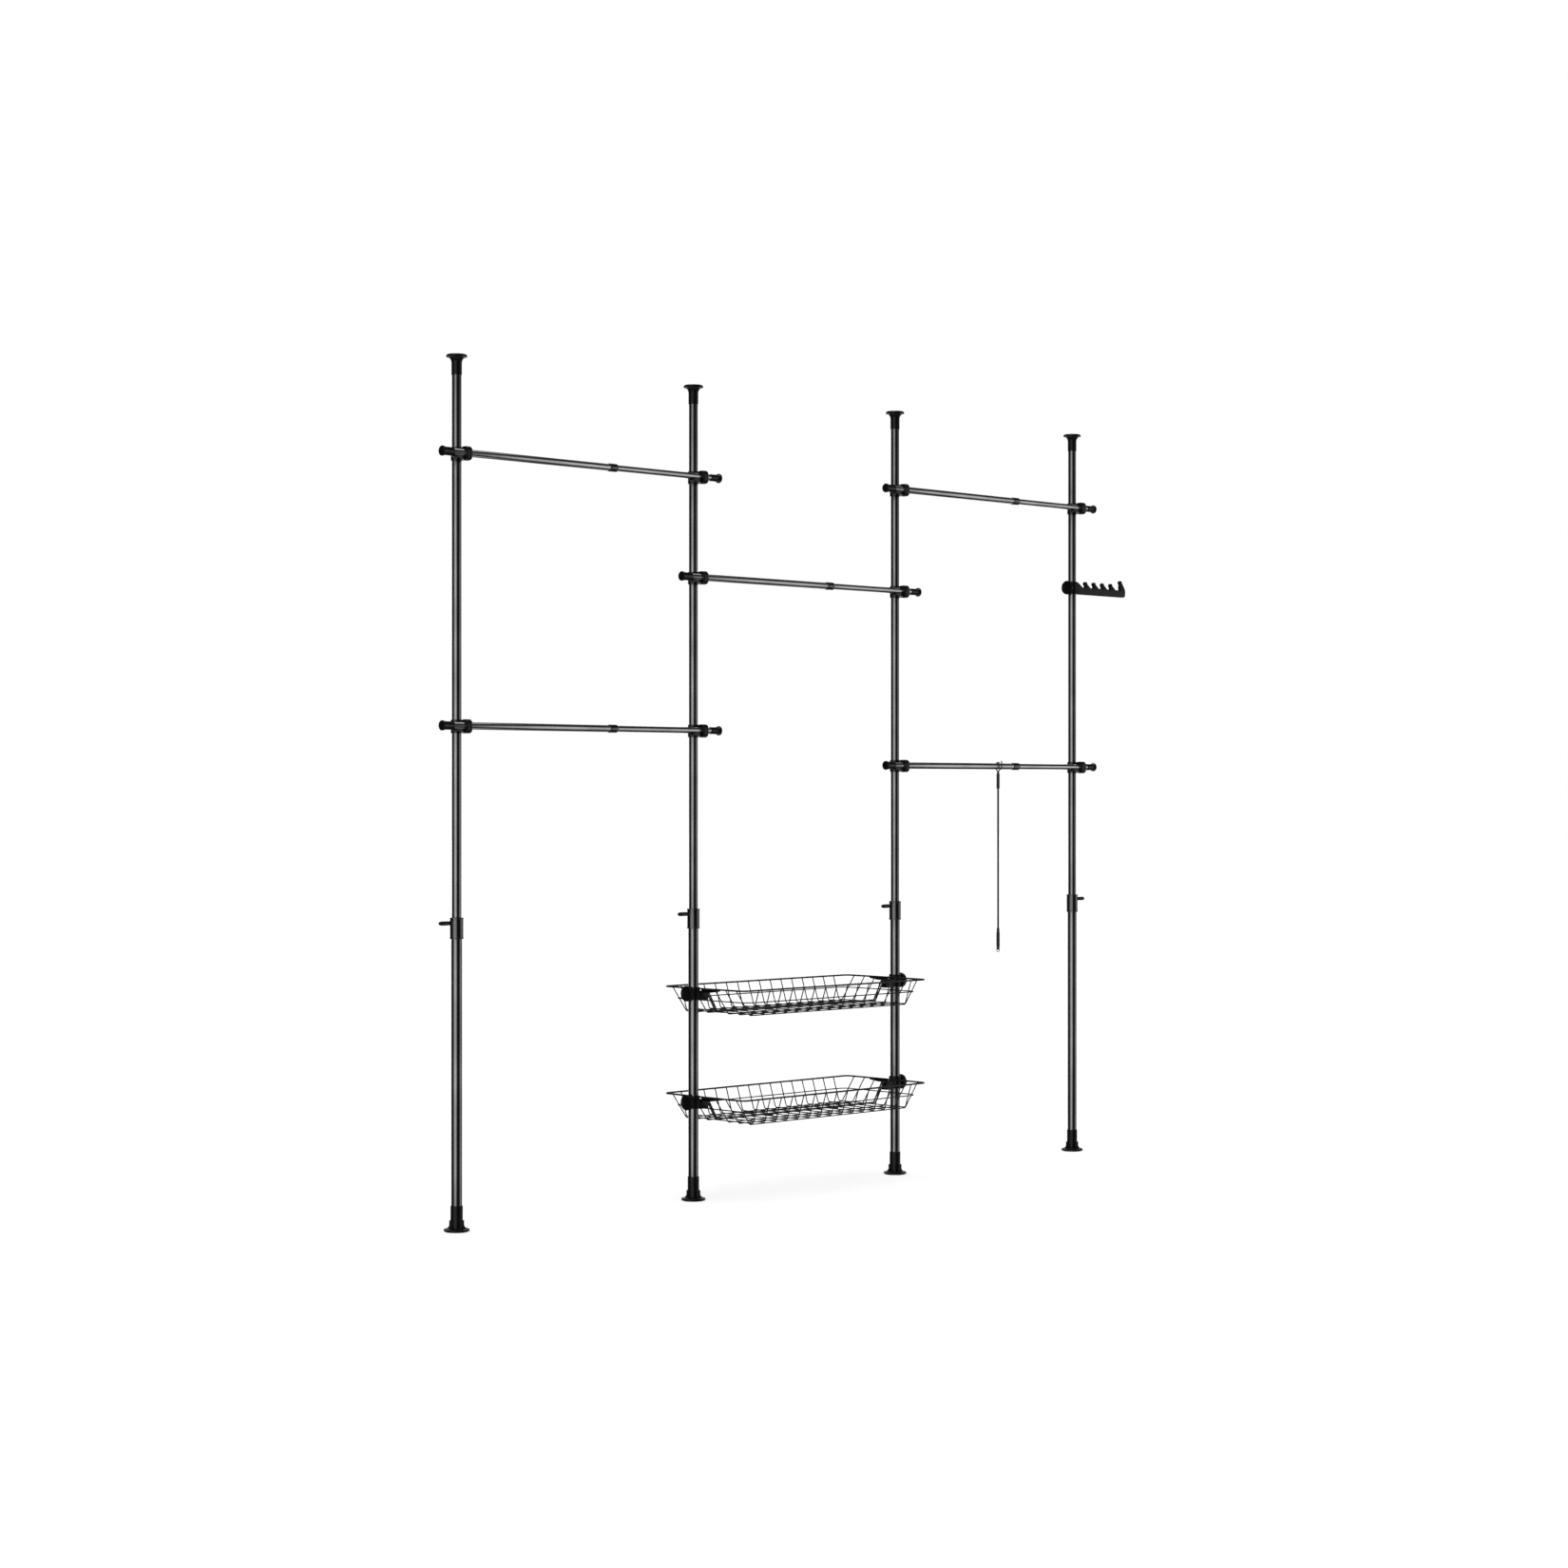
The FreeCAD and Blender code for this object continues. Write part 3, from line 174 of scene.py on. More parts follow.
# Wire baskets
RIM_RADIUS = 2.5
RIM_SIDES = 16
RIM_CORNER = 25.0
LOOP_STEPS = 8
WIRE_RADIUS = 1.5
WIRE_BEND = 9.0
BASKET_DEPTH = 77.0
LONG_SLOPE = 26.0
END_SLOPE = 60.0
CROSS_COUNT = 15
LENGTHWISE_COUNT = 7
WIRE_MARGIN = 7.0
WIRE_COAT = 0.3
HOOP_CORNER = 40.0
ROD_WIRE_RADIUS = 2.2
ROD_SPACING = 8.4
ROD_BEND = 4.0
ROD_OVERHANG = 7.0
ROD_LEAN = 0.6
ROD_DROP = 20.0
ROD_END_DROP = 10.0
ROD_END_FROM_POLE = 45.0
CLIP_GAPS = (-2.5, 3.5)
CLIP_LENGTH = 14.0
CLIP_HALF_WIDTH = 8.0
CLIP_DROP = 8.0
CLIP_RISE = 1.0
CLIP_ROUNDING = 2.0
CLIP_BEVEL = 0.8

# Basket brackets and knobs
BRACKET_BORE = 16.3
BRACKET_RADIUS = 20.3
BRACKET_HEIGHT = 40.0
BAND_EDGE = 1.2
BRACKET_BLOCK_REACH = 55.0
BRACKET_BLOCK_HALF_WIDTH = 11.0
BRACKET_BLOCK_HEIGHT = 30.0
BRACKET_BLOCK_SINK = 1.0
BRACKET_BLOCK_CORNER = 3.5
BRACKET_BLOCK_BEVEL = 1.6
BRACKET_ARM_LENGTH = 76.0
BRACKET_ARM_HEIGHT = 8.0
BRACKET_ARM_WALL = 6.0
BRACKET_ARM_TIP = 3.0
BRACKET_ARM_ROUNDING = 2.0
BRACKET_LIP_ROUNDING = 1.0
RIM_FROM_POLE = 42.0
KNOB_DROP = 12.0
KNOB_RADIUS = 24.5
KNOB_THICKNESS = 10.5
KNOB_CHAMFER = 3.0
KNOB_ROUNDING = 2.2
KNOB_STANDOFF = 1.5
KNOB_SCREW_RADIUS = 4.0
KNOB_BOSS_RADIUS = 10.0
KNOB_DISH_RADIUS = 15.0
KNOB_DISH_DEPTH = 1.5
KNOB_DISH_SLOPE = 2.0
KNOB_GAP = 0.3

# Hook rack
RACK_BORE = 14.3
RACK_RADIUS = 18.3
RACK_HEIGHT = 44.0
RACK_REACH = 296.0
RACK_THICKNESS = 10.0
RACK_BEVEL = 0.8
RACK_ARM_HEIGHT = 27.0
RACK_ARM_CORNER = 12.0
HOOK_PLACES = (73.0, 120.4, 167.8, 215.2)
HOOK_HEIGHT = 20.0
END_HOOK_PLACE = 270.0
END_HOOK_HEIGHT = 33.0
END_SHOULDER = (287.0, 13.5)
HOOK_SLOPE = 26.0
BULB_RADIUS = 7.5
BULB_TURN = 270
BULB_TURN_STEP = 30
NECK_OFFSET = 4.0
NECK_DROP = 1.0
VALLEY_DROP = 1.5
VALLEY_ROUNDING = 3.0
RACK_ROOT = 29.3
RACK_ROOT_TOP = 16.0

# Reacher rod, heights below the rail's axis
REACHER_WIRE_RADIUS = 2.0
REACHER_WIRE_SIDES = 16
REACHER_WIRE_Y = 2.55
REACHER_REACH = 13.4
REACHER_HOOK_TURN = 30.0
REACHER_HOOK_STEPS = 16
REACHER_BEND = 5.0
REACHER_STEM = 9.0
REACHER_KNEE = -5.5
REACHER_PRONG_Y = -16.0
REACHER_PRONG_TOP = 19.0
FERRULE_TOP = -25.0
FERRULE_LENGTH = 52.0
FERRULE_RADIUS = 5.5
FERRULE_WIRE_SEAT = 14.0
FERRULE_ROUNDING = 1.0
ROD_RADIUS = 3.3
ROD_SIDES = 24
ROD_TOP = -57.0
ROD_BOTTOM = -597.0
GRIP_RADIUS = 6.0
GRIP_TOP = -557.0
GRIP_BOTTOM = -633.0
GRIP_TAPER = 22.0
GRIP_LIP = 1.0
GRIP_ROUNDING = 2.0
TANG_HALF = 2.0
TANG_HEIGHT = 10.0
TANG_SINK = 1.0
TANG_ROUNDING = 4.0
TANG_BEVEL = 0.4
PULL_RING_RADIUS = 6.0
PULL_RING_WIRE = 1.2
PULL_RING_Z = -634.1
PULL_RING_STEPS = 32

# Grain of the finishes: a broad one for the tint and a fine one for gloss and relief
BROAD_SCALE = 9.0
BROAD_DETAIL = 4.0
FINE_DETAIL = 3.0
GRAIN_LOW = 0.3
GRAIN_HIGH = 0.7
TINT_SPREAD = 0.2
GLOSS_SPREAD = 0.1
RELIEF_SHARE = 0.2
BLACK = (0.005, 0.005, 0.0052)

# Studio light: direction, angle of full light and angle of its end in degrees, how many times as tall
# as wide it is, and strength. In turn: key, side light along the rails, overhead, back, and from the floor
AMBIENT = 0.03
GLOWS = (
    ((-0.94, -0.34, 0.0), 12.0, 40.0, 1.0, 2.2),
    ((0.79, -0.61, -0.087), 13.0, 29.0, 1.1, 1.0),
    ((0.0, 0.0, 1.0), 15.0, 40.0, 1.0, 2.0),
    ((0.259, 0.966, 0.0), 6.0, 18.0, 1.5, 2.0),
    ((0.0, 0.0, -1.0), 20.0, 42.0, 1.0, 0.9),
)

# White backdrop behind the object, given as the glows are, and the floor with its own share of white
BACKDROP = ((0.71, 0.71, 0.0), 20.0, 45.0, 1.0, 1.0)
FLOOR_HALF_SIZE = 60.0
FLOOR_COLOUR = 0.8
FLOOR_WHITE = 0.58

ALONG_X = Matrix.Rotation(math.radians(90), 4, "Y")
ALONG_MINUS_X = Matrix.Rotation(math.radians(-90), 4, "Y")
HALF_TURN = Matrix.Rotation(math.pi, 4, "Z")


def at(x=0.0, y=0.0, z=0.0):
    """A shift in millimetres."""
    return Matrix.Translation((x, y, z))


def rounded(points, radius, steps=CORNER_STEPS, closed=False):
    """Points of a line whose corners are replaced by short curves."""
    points = [Vector(p) for p in points]
    count = len(points)
    made = []
    for i, here in enumerate(points):
        if not closed and i in (0, count - 1):
            made.append(here)
            continue
        back = points[i - 1] - here
        ahead = points[(i + 1) % count] - here
        straight = math.pi - back.angle(ahead)
        most = CORNER_SHARE * min(back.length, ahead.length)
        reach = min(radius * math.tan(straight / 2), most)
        start = here + back.normalized() * reach
        end = here + ahead.normalized() * reach
        for step in range(steps + 1):
            t = step / steps
            made.append(start * (1 - t) ** 2 + here * (2 * t * (1 - t)) + end * t ** 2)
    return made


def lathe(bm, profile, place, sides=SIDES, finish_index=0):
    """Adds a turned form, whose profile is (radius, height) pairs about the local Z axis."""
    rings = []
    for radius, height in profile:
        if radius < AXIS_LIMIT:
            rings.append([bm.verts.new(place @ Vector((0, 0, height)))])
            continue
        ring = []
        for i in range(sides):
            angle = 2 * math.pi * i / sides
            corner = Vector((radius * math.cos(angle), radius * math.sin(angle), height))
            ring.append(bm.verts.new(place @ corner))
        rings.append(ring)
    for low, high in zip(rings, rings[1:]):
        for i in range(sides):
            j = (i + 1) % sides
            corners = [low[i % len(low)], low[j % len(low)], high[j % len(high)], high[i % len(high)]]
            corners = list(dict.fromkeys(corners))
            if len(corners) > 2:
                bm.faces.new(corners).material_index = finish_index


def sweep(bm, path, radius, place, sides=WIRE_SIDES, closed=False):
    """Adds a round wire along a line of points."""
    path = [place @ Vector(p) for p in path]
    count = len(path)
    normal = None
    rings = []
    for i, here in enumerate(path):
        before = path[i - 1] if closed or i else here
        after = path[(i + 1) % count] if closed or i + 1 < count else here
        heading = (after - before).normalized()
        if normal is None:
            normal = heading.orthogonal()
        normal = (normal - heading * normal.dot(heading)).normalized()
        across = heading.cross(normal)
        ring = []
        for k in range(sides):
            angle = 2 * math.pi * k / sides
            spoke = normal * math.cos(angle) + across * math.sin(angle)
            ring.append(bm.verts.new(here + spoke * radius))
        rings.append(ring)
    pairs = list(zip(rings, rings[1:]))
    if closed:
        pairs.append((rings[-1], rings[0]))
    for low, high in pairs:
        for k in range(sides):
            n = (k + 1) % sides
            bm.faces.new([low[k], low[n], high[n], high[k]])
    if not closed:
        bm.faces.new(rings[0])
        bm.faces.new(rings[-1])


def prism(bm, outline, start, end, place, bevel, bore=None):
    """Adds a plate with soft edges: an outline of (x, z) points, from start to end along the local Y axis.

    A bore through it is given as the x and z of its axis and its radius.
    """
    plate = bmesh.new()
    outer = [plate.verts.new((x, start, z)) for x, z in outline]
    if bore:
        axis_x, axis_z, radius = bore
        inner = []
        for x, z in outline:
            turn = math.atan2(z - axis_z, x - axis_x)
            bore_x = axis_x + radius * math.cos(turn)
            bore_z = axis_z + radius * math.sin(turn)
            inner.append(plate.verts.new((bore_x, start, bore_z)))
        faces = []
        for i in range(len(outer)):
            faces.append(plate.faces.new([outer[i - 1], outer[i], inner[i], inner[i - 1]]))
    else:
        faces = [plate.faces.new(outer)]
    grown = bmesh.ops.extrude_face_region(plate, geom=faces)
    moved = [v for v in grown["geom"] if isinstance(v, bmesh.types.BMVert)]
    bmesh.ops.translate(plate, verts=moved, vec=(0, end - start, 0))
    rims = [e for e in plate.edges if e.calc_face_angle(0) > SHARP_ANGLE]
    bmesh.ops.bevel(plate, geom=rims, offset=bevel, segments=BEVEL_STEPS, affect="EDGES",
                    profile=ROUND_PROFILE)
    plate.transform(place)
    mesh = bpy.data.meshes.new("plate")
    plate.to_mesh(mesh)
    plate.free()
    bm.from_mesh(mesh)
    bpy.data.meshes.remove(mesh)


def piece(name, bm, material, body, *nodes, second=None):
    """Makes an object of the forms in millimetres, which rides on a body and stands for CAD nodes."""
    bmesh.ops.recalc_face_normals(bm, faces=bm.faces)
    mesh = bpy.data.meshes.new(name)
    bm.to_mesh(mesh)
    bm.free()
    mesh.transform(Matrix.Scale(MM, 4))
    mesh.shade_smooth()
    mesh.set_sharp_from_angle(angle=SHARP_ANGLE)
    mesh.materials.append(material)
    if second:
        mesh.materials.append(second)
    made = bpy.data.objects.new(name, mesh)
    bpy.context.scene.collection.objects.link(made)
    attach(made, body)
    if nodes:
        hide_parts(*nodes)
    return made


def span(node):
    """A node's lowest and highest corners in millimetres."""
    low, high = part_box(node)
    return low / MM, high / MM


def middle(node):
    """The middle of a node's box in millimetres."""
    low, high = span(node)
    return (low + high) / 2


def add_floor_foot(bm, place):
    """Flange, sleeve and gusset ribs of one foot."""
    lathe(bm, rounded([
        (0, PAD_THICKNESS),
        (FLANGE_RADIUS, PAD_THICKNESS),
        (FLANGE_RADIUS, FLANGE_TOP),
        (FOOT_SLEEVE_RADIUS, FLANGE_TOP + FLANGE_CONE_RISE),
        (FOOT_SLEEVE_RADIUS, FOOT_TOP),
        (FOOT_BORE, FOOT_TOP),
        (FOOT_BORE, FOOT_SEAT),
        (0, FOOT_SEAT),
    ], FOOT_FILLET), place)
    root = FOOT_BORE + RIB_ROOT
    shoulder = FOOT_SLEEVE_RADIUS + RIB_TOP_REACH
    toe = FOOT_SLEEVE_RADIUS + RIB_TOE_REACH
    outline = rounded([
        (root, FLANGE_TOP - RIB_SINK),
        (toe, FLANGE_TOP - RIB_SINK),
        (toe, FLANGE_TOP),
        (FOOT_SLEEVE_RADIUS + RIB_KNEE_REACH, RIB_KNEE),
        (shoulder, RIB_SHOULDER),
        (shoulder, RIB_TOP),
        (root, RIB_TOP),
    ], RIB_ROUNDING, steps=RIB_STEPS, closed=True)
    for i in range(RIB_COUNT):
        turn = Matrix.Rotation(math.radians(RIB_PHASE + i * 360 / RIB_COUNT), 4, "Z")
        prism(bm, outline, -RIB_THICKNESS / 2, RIB_THICKNESS / 2, place @ turn, RIB_BEVEL)


def add_ceiling_cap(bm, place):
    """Trumpet cap, hanging down from the ceiling at height 0."""
    disc = -PAD_THICKNESS - CAP_DISC_THICKNESS
    flare = disc - CAP_FLARE_HEIGHT
    brim = CAP_RADIUS - CAP_LIP
    curve = []
    for step in range(CAP_FLARE_STEPS + 1):
        angle = math.radians(90 * step / CAP_FLARE_STEPS)
        curve.append((
            brim - (brim - CAP_SLEEVE_RADIUS) * math.sin(angle),
            disc - CAP_FLARE_HEIGHT * (1 - math.cos(angle)),
        ))
    top = rounded([
        (0, -PAD_THICKNESS),
        (CAP_RADIUS, -PAD_THICKNESS),
        (CAP_RADIUS, disc),
        curve[0],
    ], CAP_EDGE)
    sleeve = rounded([
        (CAP_SLEEVE_RADIUS, flare),
        (CAP_SLEEVE_RADIUS, flare - CAP_SLEEVE_HEIGHT),
        (CAP_BORE, flare - CAP_SLEEVE_HEIGHT),
        (CAP_BORE, -PAD_THICKNESS - CAP_SEAT_DEPTH),
        (0, -PAD_THICKNESS - CAP_SEAT_DEPTH),
    ], SMALL_EDGE)
    lathe(bm, top + curve[1:] + sleeve, place)


def add_pad(bm, radius, place):
    """Rubber pad, from height 0 to its thickness."""
    lathe(bm, rounded([
        (0, 0),
        (radius, 0),
        (radius, PAD_THICKNESS),
        (0, PAD_THICKNESS),
    ], SMALL_EDGE), place)


def add_collar(bm, low, high, place):
    """Lock collar with its two lips and the boss of its screw on the -X side."""
    lathe(bm, rounded([
        (COLLAR_SEAT, low),
        (COLLAR_LIP_RADIUS, low),
        (COLLAR_LIP_RADIUS, low + COLLAR_LIP_HEIGHT),
        (COLLAR_RADIUS, low + COLLAR_LIP_HEIGHT),
        (COLLAR_RADIUS, high - COLLAR_LIP_HEIGHT),
        (COLLAR_LIP_RADIUS, high - COLLAR_LIP_HEIGHT),
        (COLLAR_LIP_RADIUS, high),
        (COLLAR_GUIDE, high),
        (COLLAR_GUIDE, low + COLLAR_SEAT_DEPTH),
        (COLLAR_SEAT, low + COLLAR_SEAT_DEPTH),
        (COLLAR_SEAT, low),
    ], SMALL_EDGE), place)
    boss = place @ at(z=low + LOCK_HEIGHT) @ ALONG_MINUS_X
    lathe(bm, rounded([
        (LOCK_BOSS_RADIUS, COLLAR_SEAT),
        (LOCK_BOSS_RADIUS, LOCK_BOSS_END),
        (LOCK_SCREW_RADIUS, LOCK_BOSS_END),
        (LOCK_SCREW_RADIUS, COLLAR_SEAT),
    ], SMALL_EDGE), boss)


def add_lock_screw(bm, place):
    """Screw and bullet-shaped handle, along the local Z axis from the pole's axis."""
    lathe(bm, [
        (0, COLLAR_GUIDE),
        (LOCK_SCREW_RADIUS, COLLAR_GUIDE),
        (LOCK_SCREW_RADIUS, LOCK_HANDLE_START),
    ], place)
    lathe(bm, rounded([
        (0, LOCK_HANDLE_START),
        (LOCK_HANDLE_NECK, LOCK_HANDLE_START),
        (LOCK_HANDLE_RADIUS, LOCK_HANDLE_START + LOCK_HANDLE_SWELL),
        (LOCK_HANDLE_RADIUS, LOCK_HANDLE_END - LOCK_HANDLE_NOSE),
        (LOCK_HANDLE_NECK, LOCK_HANDLE_END),
        (0, LOCK_HANDLE_END),
    ], LOCK_HANDLE_ROUNDING, steps=LOCK_HANDLE_STEPS), place)


def add_tube(bm, radius, wall, length, place):
    """Tube from height 0 up, with slightly rounded rims."""
    bore = radius - wall
    profile = rounded([
        (bore, 0),
        (radius, 0),
        (radius, length),
        (bore, length),
    ], TUBE_EDGE, steps=TUBE_EDGE_STEPS, closed=True)
    lathe(bm, profile + [(bore + TUBE_EDGE, 0)], place)


def add_end_cap(bm, tube_radius, place):
    """Trumpet-shaped cap of a rail's end, with its face at height 0 and open upwards."""
    sleeve = tube_radius + END_CAP_WALL
    bore = tube_radius + SEAT_GAP
    lathe(bm, [(0, 0)] + rounded([
        (END_CAP_RADIUS * END_CAP_CROWN_SHARE, 0),
        (END_CAP_RADIUS, END_CAP_CROWN),
        (END_CAP_RADIUS, END_CAP_RIM),
        (sleeve + END_CAP_FLARE_STEP, END_CAP_FLARE),
        (sleeve, END_CAP_FLARE_END),
        (sleeve, END_CAP_LENGTH),
        (bore, END_CAP_LENGTH),
        (bore, END_CAP_FACE),
        (0, END_CAP_FACE),
    ], END_CAP_ROUNDING, steps=END_CAP_STEPS), place)


def add_slide_ring(bm, place):
    """Ring where the two rail tubes meet, from height 0 up."""
    guide = INNER_RAIL_RADIUS + RAIL_SLIDE_GAP
    seat = RAIL_RADIUS + SEAT_GAP
    lathe(bm, rounded([
        (guide, RING_LENGTH),
        (seat, RING_LENGTH - RING_THROAT),
        (seat, 0),
        (RING_RADIUS, 0),
        (RING_RADIUS, RING_LENGTH - RING_CHAMFER_LENGTH),
        (RING_RADIUS - RING_CHAMFER, RING_LENGTH),
        (guide, RING_LENGTH),
    ], SMALL_EDGE), place, finish_index=1)


def add_cross_clamp(bm, rail_y, tube_radius, place):
    """Clamp at the crossing of a pole and a rail, about the pole's axis at the rail's height."""
    lathe(bm, rounded([
        (CLAMP_BORE, CLAMP_BOTTOM),
        (CLAMP_RING_RADIUS, CLAMP_BOTTOM),
        (CLAMP_RING_RADIUS, CLAMP_TOP),
        (CLAMP_BORE, CLAMP_TOP),
        (CLAMP_BORE, CLAMP_BOTTOM),
    ], CLAMP_RING_EDGE), place)
    half = RAIL_RADIUS + CLAMP_BLOCK_WALL
    side_on = Matrix.Rotation(math.radians(-90), 4, "Z")

    def section(rise):
        """Outline of the block across the rail, as (-y, z) points."""
        front = -rail_y + half + rise
        return rounded([
            (CLAMP_BORE, CLAMP_BOTTOM - rise),
            (front, CLAMP_BOTTOM - rise),
            (front, CLAMP_TOP + rise),
            (CLAMP_BORE, CLAMP_TOP + rise),
        ], CLAMP_CORNER, steps=CLAMP_CORNER_STEPS, closed=True)

    bore = (-rail_y, 0, tube_radius + SEAT_GAP)
    across = place @ side_on
    prism(bm, section(0), 0, CLAMP_BLOCK_LENGTH, across, CLAMP_BEVEL, bore)
    for rib in CLAMP_RIB_PLACES:
        start = rib - CLAMP_RIB_WIDTH / 2
        end = start + CLAMP_RIB_WIDTH
        prism(bm, section(CLAMP_RIB_RISE), start, end, across, CLAMP_RIB_BEVEL, bore)
    cradle = rounded([
        (0, CLAMP_BOTTOM),
        (0, 0),
        (-CRADLE_LENGTH, -RAIL_RADIUS / 2),
        (-CRADLE_LENGTH, CRADLE_TIP),
    ], CRADLE_ROUNDING, closed=True)
    cradle_start = rail_y - CRADLE_HALF_WIDTH
    cradle_end = rail_y + CRADLE_HALF_WIDTH
    prism(bm, cradle, cradle_start, cradle_end, place, CLAMP_BEVEL)


def basket_floor(half_length, half_width):
    """Half the length and half the width of a basket's floor, from those of its rim."""
    inset = RIM_RADIUS + WIRE_RADIUS + SEAT_GAP
    return half_length - inset - END_SLOPE, half_width - inset - LONG_SLOPE


def rectangle(half_length, half_width, z):
    """Corners of a level rectangle about the basket's middle."""
    return [
        (half_length, -half_width, z),
        (half_length, half_width, z),
        (-half_length, half_width, z),
        (-half_length, -half_width, z),
    ]


def add_basket_wires(bm, half_length, half_width, place):
    """Cross wires, lengthwise wires and side hoop, below the rim at height 0."""
    floor_length, floor_width = basket_floor(half_length, half_width)
    coated = WIRE_RADIUS + WIRE_COAT
    end_depth = BASKET_DEPTH + 2 * WIRE_RADIUS + SEAT_GAP
    cross = rounded([
        (0, -floor_width - LONG_SLOPE, 0),
        (0, -floor_width, -BASKET_DEPTH),
        (0, floor_width, -BASKET_DEPTH),
        (0, floor_width + LONG_SLOPE, 0),
    ], WIRE_BEND)
    lengthwise = rounded([
        (-floor_length - END_SLOPE, 0, 0),
        (-floor_length, 0, -end_depth),
        (floor_length, 0, -end_depth),
        (floor_length + END_SLOPE, 0, 0),
    ], WIRE_BEND)
    for i in range(CROSS_COUNT):
        share = 2 * i / (CROSS_COUNT - 1) - 1
        sweep(bm, cross, coated, place @ at(x=share * (floor_length - WIRE_MARGIN)))
    for i in range(LENGTHWISE_COUNT):
        share = 2 * i / (LENGTHWISE_COUNT - 1) - 1
        if share:
            sweep(bm, lengthwise, coated, place @ at(y=share * (floor_width - WIRE_MARGIN)))
    side = 2 * WIRE_RADIUS + SEAT_GAP
    hoop_z = -BASKET_DEPTH / 2
    hoop_length = floor_length + END_SLOPE * (end_depth + hoop_z) / end_depth
    hoop_length += side * math.hypot(end_depth, END_SLOPE) / end_depth
    hoop_width = floor_width + LONG_SLOPE / 2
    hoop_width += side * math.hypot(BASKET_DEPTH, LONG_SLOPE) / BASKET_DEPTH
    corners = rectangle(hoop_length, hoop_width, hoop_z)
    hoop = rounded(corners, HOOP_CORNER, steps=LOOP_STEPS, closed=True)
    sweep(bm, hoop, coated, place, closed=True)


def add_basket_rim(bm, half_length, half_width, rod_end, place):
    """Rim wire at height 0, and the pair of rods along the middle of the floor with their clips."""
    corners = rectangle(half_length, half_width, 0)
    rim = rounded(corners, RIM_CORNER, steps=LOOP_STEPS, closed=True)
    sweep(bm, rim, RIM_RADIUS + WIRE_COAT, place, sides=RIM_SIDES, closed=True)
    floor_length, floor_width = basket_floor(half_length, half_width)
    rod_z = -BASKET_DEPTH + WIRE_RADIUS + ROD_WIRE_RADIUS + SEAT_GAP
    foot = floor_length + ROD_OVERHANG
    knee = foot + (-ROD_END_DROP - rod_z) * ROD_LEAN
    rod = rounded([
        (-rod_end, 0, -ROD_END_DROP),
        (-knee, 0, -ROD_END_DROP),
        (-foot, 0, rod_z),
        (foot, 0, rod_z),
        (knee, 0, -ROD_END_DROP),
        (rod_end, 0, -ROD_END_DROP),
    ], ROD_BEND)
    for side in (-1, 1):
        sweep(bm, rod, ROD_WIRE_RADIUS + WIRE_COAT, place @ at(y=side * ROD_SPACING / 2))
    pitch = 2 * (floor_length - WIRE_MARGIN) / (CROSS_COUNT - 1)
    outline = rounded([
        (-CLIP_LENGTH / 2, rod_z - CLIP_DROP),
        (CLIP_LENGTH / 2, rod_z - CLIP_DROP),
        (CLIP_LENGTH / 2, rod_z + CLIP_RISE),
        (-CLIP_LENGTH / 2, rod_z + CLIP_RISE),
    ], CLIP_ROUNDING, closed=True)
    for gap in CLIP_GAPS:
        prism(bm, outline, -CLIP_HALF_WIDTH, CLIP_HALF_WIDTH, place @ at(x=gap * pitch), CLIP_BEVEL)


def add_bracket(bm, place):
    """Pole clamp of a basket's left end, about the pole's axis at the height of the rim."""
    low = -KNOB_DROP - BRACKET_HEIGHT / 2
    high = low + BRACKET_HEIGHT
    lathe(bm, rounded([
        (BRACKET_BORE, low),
        (BRACKET_RADIUS, low),
        (BRACKET_RADIUS, high),
        (BRACKET_BORE, high),
        (BRACKET_BORE, low),
    ], BAND_EDGE), place)
    lathe(bm, rounded([
        (KNOB_BOSS_RADIUS, BRACKET_BORE),
        (KNOB_BOSS_RADIUS, BRACKET_RADIUS + KNOB_STANDOFF),
        (KNOB_SCREW_RADIUS + KNOB_GAP, BRACKET_RADIUS + KNOB_STANDOFF),
        (KNOB_SCREW_RADIUS + KNOB_GAP, BRACKET_BORE),
    ], SMALL_EDGE), place @ at(z=-KNOB_DROP) @ ALONG_MINUS_X)
    block_low = -ROD_DROP - BRACKET_BLOCK_HEIGHT / 2
    block_high = block_low + BRACKET_BLOCK_HEIGHT
    block_root = BRACKET_BORE + BRACKET_BLOCK_SINK
    block = rounded([
        (block_root, block_low),
        (BRACKET_BLOCK_REACH, block_low),
        (BRACKET_BLOCK_REACH, block_high),
        (block_root, block_high),
    ], BRACKET_BLOCK_CORNER, closed=True)
    prism(bm, block, -BRACKET_BLOCK_HALF_WIDTH, BRACKET_BLOCK_HALF_WIDTH, place, BRACKET_BLOCK_BEVEL)
    rim_bottom = -RIM_RADIUS - SEAT_GAP
    outside = RIM_FROM_POLE - RIM_RADIUS - SEAT_GAP
    inside = RIM_FROM_POLE + RIM_RADIUS - KNOB_GAP
    arm = place @ Matrix.Rotation(math.radians(-90), 4, "Z")
    prism(bm, rounded([
        (0, rim_bottom - BRACKET_ARM_HEIGHT),
        (BRACKET_ARM_LENGTH / 2, rim_bottom - BRACKET_ARM_HEIGHT),
        (BRACKET_ARM_LENGTH, rim_bottom - BRACKET_ARM_TIP),
        (BRACKET_ARM_LENGTH, rim_bottom),
        (0, rim_bottom),
    ], BRACKET_ARM_ROUNDING, closed=True), outside - BRACKET_ARM_WALL, inside, arm, SMALL_EDGE)
    prism(bm, rounded([
        (0, rim_bottom - BRACKET_ARM_TIP),
        (BRACKET_ARM_LENGTH, rim_bottom - BRACKET_ARM_TIP),
        (BRACKET_ARM_LENGTH, 0),
        (0, 0),
    ], BRACKET_LIP_ROUNDING, closed=True), outside - BRACKET_ARM_WALL, outside, arm, SMALL_EDGE)


